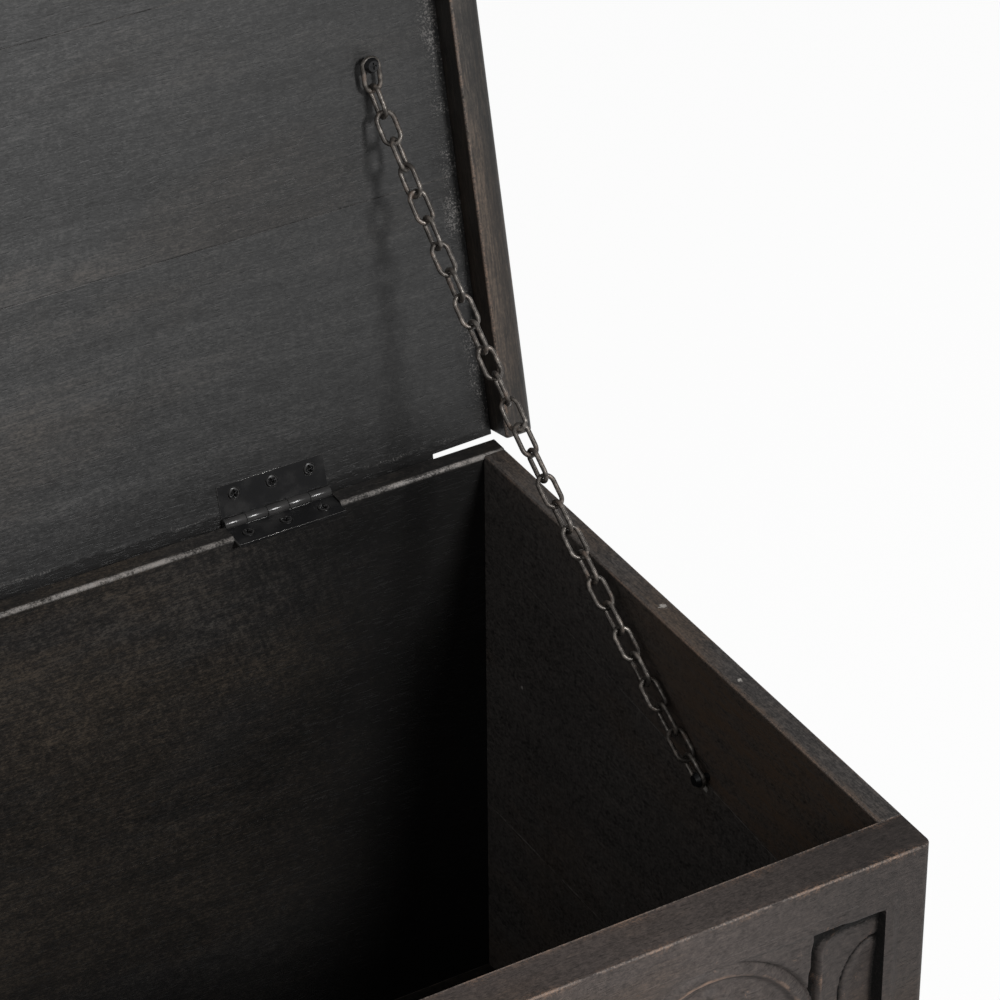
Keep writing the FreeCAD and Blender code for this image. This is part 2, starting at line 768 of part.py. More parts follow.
def lid_anchor_x(sign):
    return f"({sign} * ({IN_X} - lid_anchor_from_side))"


ANCHOR_FACE = f"({LID_UNDER} - lid_anchor_stand - link_wire / 2 - link_play)"


def lid_anchor_bore(side, sign):
    at = (lid_anchor_x(sign), "-lid_anchor_from_axis", f"{LID_UNDER} - 1")
    return rod(f"{side}_lid_anchor_bore", "anchor_shank_radius + screw_play",
               "anchor_grip + 1", at, lid=True)


def make_anchor_screws():
    for side, sign in SIDES.items():
        label = f"{side}_chain_lid_screw"
        x, y = lid_anchor_x(sign), "-lid_anchor_from_axis"
        head = cone(f"{label}_head", "anchor_head_radius * 0.7", "anchor_head_radius", "anchor_head",
                    (x, y, f"{ANCHOR_FACE} - anchor_head"), True)
        shank = rod(f"{label}_shank", "anchor_shank_radius",
                    f"{LID_UNDER} + anchor_grip - {ANCHOR_FACE}", (x, y, ANCHOR_FACE), lid=True)
        slots = cross_cut(label, f"{ANCHOR_FACE} - anchor_head", x, y, lid_block, -1)
        keep(cut(label, fuse(f"{label}_solid", [head, shank]), slots), label)
        label = f"{side}_chain_wall_screw"
        face = "(wall_anchor_stand + link_wire / 2 + link_play)"
        turn = into_wall(sign)
        axis = Vector(0, 1, 0)
        head = doc.addObject("Part::Cone", f"{label}_head")
        bind(head, "Radius1", "anchor_head_radius * 0.7")
        bind(head, "Radius2", "anchor_head_radius")
        bind(head, "Height", "anchor_head")
        place(head, wall_anchor_at(sign, f"{face} + anchor_head"), turn, axis)
        shank = rod(f"{label}_shank", "anchor_shank_radius", f"{face} + anchor_grip",
                    wall_anchor_at(sign, face), turn, axis)
        keep(fuse(label, [head, shank]), label)


def link_shape(reach):
    # a closed oval of round wire along X, its end wires `reach` apart and the first one at the origin
    wire, bend = value("link_wire / 2"), value("(link_width - link_wire) / 2")
    far = reach - bend
    start = Vector((bend + far) / 2, -bend, 0)
    route = [
        Part.LineSegment(start, Vector(far, -bend, 0)),
        Part.Arc(Vector(far, -bend, 0), Vector(reach, 0, 0), Vector(far, bend, 0)),
        Part.LineSegment(Vector(far, bend, 0), Vector(bend, bend, 0)),
        Part.Arc(Vector(bend, bend, 0), Vector(0, 0, 0), Vector(bend, -bend, 0)),
        Part.LineSegment(Vector(bend, -bend, 0), start),
    ]
    section = Part.Wire([Part.makeCircle(wire, start, Vector(1, 0, 0))])
    return Part.Wire([leg.toShape() for leg in route]).makePipeShell([section], True, False)


def aim(along, normal, at):
    # the placement that lays a link along one direction with its flat side facing another
    across = normal.cross(along)
    return Placement(at, Rotation(along, across, normal, "XYZ"))


def chain_ends(sign):
    # the middle of the lid link's far end wire, and the wall screw's axis at the last link
    down = value("link_pitch + link_wire / 2 - anchor_shank_radius")
    at = (lid_anchor_x(sign), f"{down} - lid_anchor_from_axis", f"{LID_UNDER} - lid_anchor_stand")
    start = Vector(*[value(text) for text in on_lid(at)])
    end = Vector(*[value(text) for text in wall_anchor_at(sign, "wall_anchor_stand")])
    return start, end


def link_roll(step, count):
    # a quarter turn from link to link, with a slow quarter twist near the lid; an odd count takes one
    # more half way, so that the last link lies flat to the wall
    twist = min(step / 4, 1)
    if count % 2 == 1:
        twist += min(max((step - count / 2 + 3) / 3, 0), 1)
    return math.radians(90 * (step + twist))


def chain_points(start, end, count):
    # the link joints from end to end, hanging a little below the straight line
    span = end - start
    along = Vector(span).normalize()
    sag = Vector(0, 0, -1) + along * along.z
    sag = sag.normalize() * value("chain_sag")
    steps = [step / count for step in range(count + 1)]
    return [start + span * part + sag * (4 * part * (1 - part)) for part in steps]


def make_chain(side, sign):
    start, end = chain_ends(sign)
    hook = value("link_wire + link_play")
    tail = value("link_wire / 2 + anchor_shank_radius + link_play")
    end = end + Vector(end - start).normalize() * tail
    count = round((end - start).Length / value("link_pitch"))
    points = chain_points(start, end, count)
    links = []
    for step in range(count):
        span = points[step + 1] - points[step]
        along = Vector(span).normalize()
        wide = (Vector(1, 0, 0) - along * along.x).normalize()
        roll = link_roll(step, count)
        normal = wide * math.cos(roll) + along.cross(wide) * math.sin(roll)
        shape = link_shape(span.Length + hook)
        shape.Placement = aim(along, normal, points[step] - along * hook)
        links.append(shape)
    # two runs with a short bend of three links between them
    upper = count // 2 - 2
    lower = upper + 3
    runs = {"upper": links[:upper], "bend": links[upper:lower], "lower": links[lower:]}
    for name, shapes in runs.items():
        thing = doc.addObject("Part::Feature", f"{side}_chain_{name}")
        thing.Shape = Part.makeCompound(shapes)
        keep(thing, f"{side}_chain_{name}")
    make_lid_link(side, sign, start)
    print(f"{side} chain: {count} links, from", tuple(start), "with folds at",
          tuple(points[upper]), tuple(points[lower]))


def make_lid_link(side, sign, start):
    turn = math.radians(value("lid_open_angle"))
    up = Vector(0, -math.cos(turn), math.sin(turn))
    face = Vector(0, -math.sin(turn), -math.cos(turn))
    thing = doc.addObject("Part::Feature", f"{side}_chain_lid_link")
    shape = link_shape(value("link_pitch + link_wire + link_play"))
    shape.Placement = aim(up, face, start)
    thing.Shape = Part.makeCompound([shape])
    keep(thing, f"{side}_chain_lid_link")


def check_and_write():
    doc.recompute()
    for thing in doc.Objects:
        if any(state in ("Invalid", "Error") for state in thing.State):
            raise ValueError(f"{thing.Name} did not build")
    for thing in pieces:
        if thing.Shape.isNull() or not thing.Shape.isValid():
            raise ValueError(f"{thing.Label} has no sound shape")
    os.makedirs("parts", exist_ok=True)
    for thing in pieces:
        thing.Shape.exportStep(f"parts/{thing.Label}.step")
    print(len(pieces), "pieces written")


make_front_board()
make_side_planks()
make_back_planks()
make_dowels()
make_floor()
make_plinth()
make_lid_planks()
make_rims()
make_hinges()
make_anchor_screws()
for chain_side, chain_sign in SIDES.items():
    make_chain(chain_side, chain_sign)
check_and_write()
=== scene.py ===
import json
from math import pi, radians

import bmesh
import bpy
from mathutils import Matrix, Vector


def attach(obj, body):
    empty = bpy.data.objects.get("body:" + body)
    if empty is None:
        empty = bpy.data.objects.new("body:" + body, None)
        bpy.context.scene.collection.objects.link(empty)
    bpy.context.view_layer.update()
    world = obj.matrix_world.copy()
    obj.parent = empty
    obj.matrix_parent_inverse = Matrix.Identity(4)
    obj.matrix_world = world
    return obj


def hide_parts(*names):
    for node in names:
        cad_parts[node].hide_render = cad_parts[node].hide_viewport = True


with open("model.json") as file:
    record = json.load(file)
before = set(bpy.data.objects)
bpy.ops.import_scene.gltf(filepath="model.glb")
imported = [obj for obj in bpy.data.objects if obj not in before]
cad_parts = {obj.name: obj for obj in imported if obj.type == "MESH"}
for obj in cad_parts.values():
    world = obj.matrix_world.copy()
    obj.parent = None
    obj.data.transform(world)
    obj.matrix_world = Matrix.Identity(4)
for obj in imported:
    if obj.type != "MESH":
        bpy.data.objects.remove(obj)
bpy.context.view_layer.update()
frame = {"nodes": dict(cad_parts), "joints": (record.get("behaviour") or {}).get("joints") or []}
mm = 0.001
print("frame loaded:", len(frame["nodes"]), "nodes")


# node trees, written as expressions


def operators(operation):
    # an operator and its reflected form
    def plain(self, other):
        return self.maths(operation, self, other)

    def reflected(self, other):
        return self.maths(operation, other, self)

    return plain, reflected


class Value:
    # one output socket, with plain arithmetic on it
    __add__, __radd__ = operators("ADD")
    __sub__, __rsub__ = operators("SUBTRACT")
    __mul__, __rmul__ = operators("MULTIPLY")
    __truediv__, __rtruediv__ = operators("DIVIDE")
    __pow__, __rpow__ = operators("POWER")

    def __init__(self, tree, socket):
        self.tree = tree
        self.socket = socket

    def maths(self, operation, *values):
        return self.tree.add("ShaderNodeMath", {"operation": operation}, dict(enumerate(values)))

    def __abs__(self):
        return self.maths("ABSOLUTE", self)

    def smaller(self, other):
        return self.maths("MINIMUM", self, other)

    def larger(self, other):
        return self.maths("MAXIMUM", self, other)

    def sine(self):
        return self.maths("SINE", self)

    def cosine(self):
        return self.maths("COSINE", self)

    def root(self):
        return self.maths("SQRT", self.larger(0))

    def pingPong(self, scale):
        return self.maths("PINGPONG", self, scale)

    def rise(self, low, high):
        # 0 below low and 1 above high, eased between them
        settings = {"interpolation_type": "SMOOTHSTEP"}
        sockets = {"Value": self, "From Min": low, "From Max": high}
        return self.tree.add("ShaderNodeMapRange", settings, sockets)

    def fall(self, low, high):
        return 1 - self.rise(low, high)

    def band(self, place, half, core=0.1):
        # 1 along a line at a place, fading out at its half width
        return (abs(self - place) / half).fall(core, 1)


class Tree:
    def __init__(self, nodeTree):
        self.nodeTree = nodeTree

    def add(self, kind, settings=None, sockets=None, out=0):
        node = self.nodeTree.nodes.new(kind)
        for name, value in (settings or {}).items():
            if name == "stops":
                self.setStops(node.color_ramp, value)
            elif name == "curve":
                self.setCurve(node.mapping, value)
            else:
                setattr(node, name, value)
        for key, value in (sockets or {}).items():
            if isinstance(value, Value):
                self.nodeTree.links.new(value.socket, node.inputs[key])
            else:
                node.inputs[key].default_value = value
        return Value(self, node.outputs[out]) if node.outputs else None

    def setStops(self, ramp, stops):
        while len(ramp.elements) < len(stops):
            ramp.elements.new(1)
        for element, (place, colour) in zip(ramp.elements, stops):
            element.position = place
            element.color = (*colour, 1)

    def setCurve(self, mapping, points):
        line = mapping.curves[0].points
        while len(line) < len(points):
            line.new(1, 1)
        for point, spot in zip(line, points):
            point.location = spot
            point.handle_type = "VECTOR"
        mapping.update()

    def split(self, vector):
        node = self.nodeTree.nodes.new("ShaderNodeSeparateXYZ")
        self.nodeTree.links.new(vector.socket, node.inputs[0])
        return [Value(self, out) for out in node.outputs]

    def join(self, x, y, z):
        return self.add("ShaderNodeCombineXYZ", None, {0: x, 1: y, 2: z})

    def vectors(self, operation, a, b, out=0):
        return self.add("ShaderNodeVectorMath", {"operation": operation}, {0: a, 1: b}, out)

    def scaled(self, vector, factor):
        settings = {"operation": "SCALE"}
        return self.add("ShaderNodeVectorMath", settings, {0: vector, "Scale": factor})

    def unit(self, vector):
        return self.add("ShaderNodeVectorMath", {"operation": "NORMALIZE"}, {0: vector})

    def noise(self, vector, scale, detail=3, roughness=0.55):
        sockets = {"Vector": vector, "Scale": scale, "Detail": detail, "Roughness": roughness}
        return self.add("ShaderNodeTexNoise", None, sockets)

    def ramp(self, value, stops):
        return self.add("ShaderNodeValToRGB", {"stops": stops}, {0: value})

    def blend(self, factor, a, b):
        sockets = {0: factor, 6: rgba(a), 7: rgba(b)}
        return self.add("ShaderNodeMix", {"data_type": "RGBA"}, sockets, 2)

    def attribute(self, name, out=0):
        return self.add("ShaderNodeAttribute", {"attribute_name": name}, None, out)


def rgba(colour):
    return colour if isinstance(colour, Value) else (*colour, 1)


def newMaterial(name):
    material = bpy.data.materials.new(name)
    material.use_nodes = True
    material.node_tree.nodes.clear()
    return material, Tree(material.node_tree)


def finishMaterial(tree, sockets, height, bump, reach):
    # one principled surface with a bump
    normal = tree.add("ShaderNodeBump", None, {"Strength": bump, "Distance": reach, "Height": height})
    surface = tree.add("ShaderNodeBsdfPrincipled", None, {**sockets, "Normal": normal})
    tree.add("ShaderNodeOutputMaterial", None, {"Surface": surface})


# stained wood; colours are linear, lengths in metres

woodLook = {"bump": 0.30, "bumpReach": 0.0005, "bow": 0.012, "bowScale": 3}
# the figure's noises: scale along the grain and across it, or all round, then detail and roughness
grainNoise = {
    "fibre": (70, 1 / 0.0011, 3, 0.65), "streak": (5, 75, 4, 0.55), "blotch": (5, 9, 4, 0.6),
    "dash": (520, 1000, 2, 0.6), "pore": (130, 1 / 0.0006, 1, 0.55), "warm": (4, 10, 4, 0.62),
}
spotNoise = {"mottle": (240, 4, 0.7), "grit": (900, 2, 0.7), "patch": (45, 4, 0.65)}
poreShare = (0.60, 0.74)
rippleLook = {
    "scales": (380, 40, 85), "lean": 0.3, "patchScale": 8, "patchShift": (3.1, 0, 0), "patches": (0.40, 0.60),
    "foot": (0.24, 0.33), "head": (0.393, 0.396), "show": 0.2,
}
# each wood's tones from dark to light, where it turns warm, its figure's weights, its own wear and its
# painted shade;
# line: width, strength and copper of the bare arris, whose pale part is partly a painted highlight, rub:
# reach and strength of the specks beside it, the painted shade at the ends and the darker outer side: start,
# end, strength and waver, the painted shade on the rim's inner face and low in the chest: start, end,
# strength,
# seam and dim: width and strength, shade: width of the painted shade along the hinge edge, chips: place and
# size in millimetres
lidLook = {
    "tones": ((0.008, 0.008, 0.008), (0.032, 0.032, 0.032), (0.076, 0.074, 0.072)),
    "warm": ((0.009, 0.007, 0.006), (0.038, 0.033, 0.029), (0.095, 0.077, 0.062)),
    "warmth": (0.52, 0.70), "tint": 0.45, "rough": 0.45,
    "figure": {"blotch": 0.6, "streak": 0.55, "fibre": 0.8, "mottle": 0.8, "dash": 1.0},
    "line": (0.0006, 0.20, 0.0), "rub": (0.0022, 0.0), "seam": (0.0008, 0.65),
    "fade": (0.06, 0.42, 0.52, 0.05), "residue": 0.3955,
}
lidBackLook = {**lidLook, "shade": 0.0082, "dim": (0.05, 0.4)}
rimLook = {
    "tones": ((0.006, 0.0055, 0.005), (0.0195, 0.0168, 0.0144), (0.058, 0.048, 0.040)),
    "warm": ((0.010, 0.0075, 0.006), (0.040, 0.0295, 0.0225), (0.098, 0.071, 0.051)),
    "warmth": (0.44, 0.60), "rough": 0.44,
    "figure": {"blotch": 0.6, "streak": 1.0, "fibre": 1.5, "mottle": 0.6, "dash": 0.8},
    "line": (0.0016, 0.55, 0.4), "rub": (0.0025, 0.35),
}
rimSideLook = {**rimLook, "outer": (0.412, 0.420, 0.5, 0.004), "cheek": (0.4088, 0.4096, 0.45)}
backLook = {
    "tones": ((0.003, 0.003, 0.003), (0.0118, 0.0106, 0.0099), (0.038, 0.034, 0.030)),
    "warm": ((0.003, 0.0025, 0.002), (0.0155, 0.0120, 0.0090), (0.048, 0.036, 0.025)),
    "warmth": (0.40, 0.58), "rough": 0.56,
    "figure": {"blotch": 0.9, "streak": 0.5, "fibre": 1.0, "mottle": 1.2, "dash": 1.5},
    "line": (0.0025, 1.0, 0.0), "rub": (0.0022, 0.1), "ripple": 6.0, "corner": (0.205, 0.345),
    "sink": (0.02, 0.34, 0.80),
}
sideLook = {
    "tones": ((0.008, 0.0073, 0.007), (0.032, 0.0285, 0.027), (0.072, 0.064, 0.059)),
    "warm": ((0.010, 0.008, 0.006), (0.040, 0.030, 0.0235), (0.090, 0.063, 0.044)),
    "warmth": (0.47, 0.62), "rough": 0.48,
    "figure": {"blotch": 0.8, "streak": 0.6, "fibre": 0.9, "mottle": 1.0, "dash": 1.4},
    "line": (0.0010, 0.45, 0.7), "rub": (0.0022, 0.15), "inside": (0.396, 0.65), "joint": 0.5,
    "tan": (0.3249, 0.0887, 1.0),
    "chips": (((0.4024, 0.0250, 0.397), 3.2), ((0.4011, -0.0488, 0.397), 2.2),
              ((0.395, -0.0290, 0.3185), 3.6), ((0.395, 0.1540, 0.2668), 1.8)),
}
frontLook = {
    "tones": ((0.014, 0.0115, 0.010), (0.049, 0.0400, 0.0365), (0.088, 0.071, 0.063)),
    "warm": ((0.017, 0.0115, 0.009), (0.058, 0.0435, 0.0355), (0.110, 0.076, 0.056)),
    "warmth": (0.46, 0.62), "rough": 0.60, "gloss": 0.22,
    "figure": {"blotch": 0.6, "streak": 0.2, "fibre": 0.45, "mottle": 0.9, "dash": 1.0},
    "line": (0.0012, 0.70, 0.65), "rub": (0.0050, 0.25), "fade": (0.27, 0.39, 0.45, 0.05),
}
floorLook = {**backLook, "ripple": 0.0, "corner": None, "sink": None, "line": (0.0012, 0.5, 0.3)}
bareLook = {
    "tones": ((0.090, 0.062, 0.040), (0.185, 0.122, 0.076), (0.270, 0.185, 0.118)),
    "warm": ((0.100, 0.064, 0.038), (0.200, 0.125, 0.070), (0.290, 0.190, 0.110)),
    "warmth": (0.44, 0.60), "rough": 0.60,
    "figure": {"blotch": 0.5, "streak": 0.6, "fibre": 1.0, "mottle": 0.3, "dash": 0.4},
}
copperWear = (0.240, 0.138, 0.085)
# pale of rubbed wood and dust, and also the colour of painted highlights on arrises
paleWearAndHighlight = (0.240, 0.226, 0.214)
chipTone = (0.30, 0.28, 0.26)
dustTone = (0.085, 0.077, 0.071)
tanTone = (0.072, 0.046, 0.030)
# dark of the pores, and also the colour of all painted shade
deepTone = (0.0015, 0.0013, 0.0012)


def objectSpot(tree):
    return tree.add("ShaderNodeTexCoord", None, None, "Object")


def grainSpot(tree, along, plain):
    # where a point lies in its own log, the first number running along the grain
    x, y, z = tree.split(objectSpot(tree) if plain else tree.attribute("grainSpot", 1))
    return {"X": (x, y, z), "Y": (y, x, z)}[along]


def edgeDistance(tree):
    # the way to the nearest open edge of a board, from its two corner attributes
    low = tree.split(tree.attribute("fromLow", 1))
    high = tree.split(tree.attribute("fromHigh", 1))
    a, b, c = (one.smaller(other) for one, other in zip(low, high))
    return a.smaller(b).larger(a.larger(b).smaller(c))


def woodFigure(tree, along, spot, plain):
    # the parts of the figure, each around a half, and where a point lies
    x, y, z = grainSpot(tree, along, plain)
    coarse = woodLook["bowScale"]
    bow = woodLook["bow"] * tree.noise(tree.join(x * coarse, y * coarse, z * coarse), 1, 2)
    y, z = y + bow, z + bow
    part = {name: tree.noise(spot, *values) for name, values in spotNoise.items()}
    for name, (length, width, detail, roughness) in grainNoise.items():
        part[name] = tree.noise(tree.join(x * length, y * width, z * width), 1, detail, roughness)
    part["pore"] = part["pore"].rise(*poreShare)
    part["loose"] = part["patch"] - 0.5
    side, part["across"], part["height"] = tree.split(spot)
    part["side"] = abs(side)
    return part


def toneStops(tones):
    dark, middle, light = tones
    return [(0.0, dark), (0.5, middle), (1.0, light)]


def rippleMarks(tree, spot, strength):
    # faint plane chatter across the grain, in patches
    look = rippleLook
    x, y, z = tree.split(spot)
    across, along, upright = look["scales"]
    fleck = tree.noise(tree.join((x + look["lean"] * z) * across, y * along, z * upright), 1, 2) - 0.5
    patch = tree.noise(tree.vectors("ADD", spot, look["patchShift"]), look["patchScale"], 3)
    return fleck * patch.rise(*look["patches"]) * z.rise(*look["foot"]) * z.fall(*look["head"]) * strength


def stainedTone(tree, look, part, wave):
    # the stain's colour before wear
    tone = 0.5
    for name, weight in look["figure"].items():
        tone = tone + weight * (part[name] - 0.5)
    if wave is not None:
        tone = tone + rippleLook["show"] * wave
    warm = (part["warm"] + 0.15 * (part["fibre"] - 0.5)).rise(*look["warmth"])
    colour = tree.blend(warm * look.get("tint", 0.85), tree.ramp(tone, toneStops(look["tones"])),
                        tree.ramp(tone, toneStops(look["warm"])))
    return tree.blend(part["pore"] * 0.4, colour, deepTone)


def wallDustAndShade(tree, look, part, colour):
    # dust and bare stain on an inner face, a rubbed joint, painted shade low in the chest and a painted
    # shadow in the corner
    side, across, height = part["side"], part["across"], part["height"]
    if look.get("inside"):
        start, most = look["inside"]
        inner = side.fall(start, start + 0.003)
        dust = (0.4 * part["mottle"] + 0.6 * part["grit"] + 0.5 * part["dash"]).rise(0.55, 0.95) * most
        colour = tree.blend(inner * dust, colour, dustTone)
        level, climb, most = look["tan"]
        bare = (height - climb * across).rise(level, level + 0.002) * across.fall(-0.04, 0.08)
        bare = bare * (0.6 * part["streak"] + 0.5 * part["blotch"] + 0.5 * part["mottle"]).rise(0.62, 0.96)
        bare = bare * (part["fibre"] + 0.5 * part["dash"]).rise(0.45, 0.95) * most
        colour = tree.blend(inner * bare, colour, tanTone)
    if look.get("joint"):
        rubbed = tree.attribute("joint", 2).rise(0.991, 0.997) * look["joint"]
        rubbed = rubbed * (part["patch"] + 0.5 * part["grit"]).rise(0.66, 0.9)
        colour = tree.blend(rubbed, colour, paleWearAndHighlight)
    # painted shade: darker towards the bottom of the chest, where the front wall keeps the light off
    if look.get("sink"):
        start, end, most = look["sink"]
        colour = tree.blend((height + 0.1 * part["loose"]).fall(start, end) * most, colour, deepTone)
    # painted shadow of the side walls in the back wall's corners, weaker on the top face
    if look.get("corner"):
        below = tree.split(tree.attribute("fromHigh", 1))[2].rise(0.0008, 0.004)
        cornerShadow = (side + 0.05 * part["loose"]).rise(*look["corner"]) * (0.4 + 0.56 * below)
        colour = tree.blend(cornerShadow, colour, deepTone)
    return colour


def endSeamsAndShade(tree, look, part, colour):
    # dark seams between planks, painted shade towards the ends, a darker outer side and painted shade on the
    # rim's inner face
    if look.get("seam"):
        wide, most = look["seam"]
        colour = tree.blend(part["far"].fall(0.3 * wide, wide) * most, colour, deepTone)
    # the first is painted shade towards the ends, the second a darker outer side of the rim
    for key in ("fade", "outer"):
        if look.get(key):
            start, end, most, waver = look[key]
            shade = (part["side"] + waver * part["loose"]).rise(start, end) * most
            colour = tree.blend(shade, colour, deepTone)
    # painted shade on the rim's inner face, which faces away from the light
    if look.get("cheek"):
        start, end, most = look["cheek"]
        colour = tree.blend(part["side"].fall(start, end) * most, colour, deepTone)
    return colour


def hingeShadeAndDust(tree, look, part, colour):
    # painted shade along the hinge edge with a painted highlight on its upper arris, a darker tone reaching
    # further from it, and dust at the lid's ends
    if look.get("shade"):
        wide = look["shade"]
        back = tree.split(tree.attribute("fromHigh", 1))[1] + 0.008 * part["loose"]
        back = back + 0.004 * (part["dash"] - 0.5)
        # painted shade along the lid's back edge, standing in for the shadowed gap at the wall
        colour = tree.blend(back.fall(0.8 * wide, wide) * 0.95, colour, deepTone)
        # painted highlight along the arris above the painted shade
        crestHighlight = back.band(1.06 * wide, 0.0006, 0.5) * part["grit"].rise(0.5, 0.6)
        colour = tree.blend(crestHighlight * part["patch"].rise(0.44, 0.6) * 0.5, colour, paleWearAndHighlight)
        reach, most = look["dim"]
        colour = tree.blend(back.fall(0.005, reach) * most, colour, deepTone)
    if look.get("residue"):
        start = look["residue"]
        dust = (part["side"] + 0.012 * part["loose"]).rise(start, start + 0.012)
        dust = dust * (part["grit"] + 0.5 * part["loose"]).rise(0.54, 0.68) * 0.5
        colour = tree.blend(dust, colour, paleWearAndHighlight)
    return colour


def boardWear(look, part):
    # the bare arris line, whose pale part is partly a painted highlight on the rounded edge, and the rubbed
    # specks beside it, with the line's share of copper
    (wide, shine, copper), (reach, rub) = look["line"], look["rub"]
    far, patch, grit = part["far"], part["patch"], part["grit"]
    line = far.fall(0.45 * wide, 1.05 * wide) * (patch + 0.6 * grit).rise(0.62, 1.0) * shine
    worn = (reach * (3.0 * patch - 0.9) - far).rise(-0.3 * reach, 0.6 * reach)
    worn = worn * (grit + 0.5 * part["mottle"]).rise(0.72, 0.88) * rub
    return line, worn, patch.rise(0.4, 0.6) * copper


def carvedWear(tree, part):
    # the same for the carving, whose tree marks its arrises
    patch = part["patch"]
    line = (tree.attribute("wear", 2) * (3.2 * patch - 0.95) - 0.3).rise(0, 0.5) * 0.55
    worn = (patch + 0.5 * part["mottle"] - 0.5).rise(0.34, 0.46) * part["grit"].rise(0.5, 0.62) * 0.35
    return line, worn, 0.8


def stainedWood(name, along, look, kind="board"):
    # kinds: a board with open edges, the carved field, or a plain piece without wear
    material, tree = newMaterial(name)
    spot = objectSpot(tree)
    part = woodFigure(tree, along, spot, kind == "plain")
    if kind == "board":
        part["far"] = edgeDistance(tree)
    height = 0.5 * part["fibre"] + 0.35 * part["mottle"] - 0.6 * part["pore"] + 0.3 * part["dash"]
    wave = rippleMarks(tree, spot, look["ripple"]) if look.get("ripple") else None
    if wave is not None:
        height = height + rippleLook["show"] * wave
    colour = stainedTone(tree, look, part, wave)
    # dust, wear, painted shade and painted highlights
    for soilAndShade in (wallDustAndShade, endSeamsAndShade, hingeShadeAndDust):
        colour = soilAndShade(tree, look, part, colour)
    roughness = look["rough"] + 0.25 * (part["blotch"] - 0.5) + 0.2 * part["pore"]
    if kind == "carved":
        # painted shade in the carving's hollows, grooves and reveals
        cavity = (tree.attribute("cavity", 2) + 0.8 * (part["grit"] - 0.5)).rise(0.2, 0.85)
        colour = tree.blend(cavity, colour, deepTone)
        roughness = roughness + 0.35 * cavity
    if kind != "plain":
        line, worn, copper = boardWear(look, part) if kind == "board" else carvedWear(tree, part)
        colour = tree.blend(line, colour, tree.blend(copper, paleWearAndHighlight, copperWear))
        colour = tree.blend(worn, colour, copperWear)
        roughness = roughness - 0.08 * line
    for place, size in look.get("chips", ()):
        near = tree.vectors("DISTANCE", spot, place, 1) / (size * mm)
        colour = tree.blend((near + 1.6 * part["grit"] - 0.6).fall(0.45, 0.95), colour, chipTone)
    sockets = {"Base Color": colour, "Roughness": roughness, "Specular IOR Level": look.get("gloss", 0.4)}
    finishMaterial(tree, sockets, height, woodLook["bump"], woodLook["bumpReach"])
    return material


# metal

ironLook = {
    "rust": (0.070, 0.038, 0.022), "dark": (0.060, 0.053, 0.047), "bare": (0.215, 0.195, 0.175),
    "patchScale": 130, "speckScale": 1100, "brightScale": 260, "bump": 0.35, "bumpReach": 0.0004,
}
lacquerLook = {
    "black": (0.0075, 0.0075, 0.008), "rubbed": (0.13, 0.125, 0.12), "bright": (0.34, 0.33, 0.32),
    "patchScale": 60, "speckScale": 1700, "bump": 0.10, "bumpReach": 0.0002,
}


def agedIron():
    material, tree = newMaterial("agedIron")
    look = ironLook
    spot = objectSpot(tree)
    patch = tree.noise(spot, look["patchScale"], 4, 0.65)
    speck = tree.noise(spot, look["speckScale"], 3, 0.7)
    rust = (patch + 0.3 * speck).rise(0.66, 0.86)
    bright = tree.noise(spot, look["brightScale"], 3, 0.6).rise(0.44, 0.66)
    colour = tree.blend(bright * 0.7, look["dark"], look["bare"])
    colour = tree.blend(rust * 0.7, colour, look["rust"])
    sockets = {
        "Base Color": colour,
        "Metallic": 0.6 - 0.4 * rust,
        "Roughness": 0.42 + 0.25 * rust - 0.08 * bright,
    }
    finishMaterial(tree, sockets, 0.6 * speck + 0.4 * patch, look["bump"], look["bumpReach"])
    return material


def blackLacquer(name, rough, head=False):
    # a head is darker in its middle, with a painted highlight ring and painted shade round its edge and in
    # its cross; rubbed edges and knuckles are bright, partly as a painted highlight
    material, tree = newMaterial(name)
    look = lacquerLook
    spot = objectSpot(tree)
    patch = tree.noise(spot, look["patchScale"], 3, 0.5)
    speck = tree.noise(spot, look["speckScale"], 3, 0.7)
    rubbed = (patch + 0.35 * speck).rise(0.66, 0.86) * 0.12
    colour = tree.blend(rubbed, look["black"], look["rubbed"])
    if head:
        ring = tree.attribute("spread", 2)
        # painted highlight ring on the domed head
        shine = ring.rise(0.60, 0.72) * ring.fall(0.76, 0.86)
        colour = tree.blend(ring.fall(0.5, 0.65) * 0.6, colour, deepTone)
        colour = tree.blend(shine * 0.22, colour, look["rubbed"])
        # painted shade in the cross recess and round the head's edge
        crossAndFootShade = tree.attribute("cross", 2).larger(ring.rise(0.84, 0.94))
        colour = tree.blend(crossAndFootShade * 0.95, colour, deepTone)
    # rubbed bare metal on edges and knuckles, partly a painted highlight
    bare = tree.attribute("rub", 2) * (0.55 + 0.5 * patch)
    colour = tree.blend(bare * 0.7, colour, look["bright"])
    sockets = {
        "Base Color": colour,
        "Roughness": rough + 0.1 * (patch - 0.5) - 0.2 * bare.rise(0, 0.1),
        "Metallic": 0.15 + 0.5 * rubbed + 0.5 * bare,
        "Specular IOR Level": 0.3,
    }
    finishMaterial(tree, sockets, speck, look["bump"], look["bumpReach"])
    return material


# boards

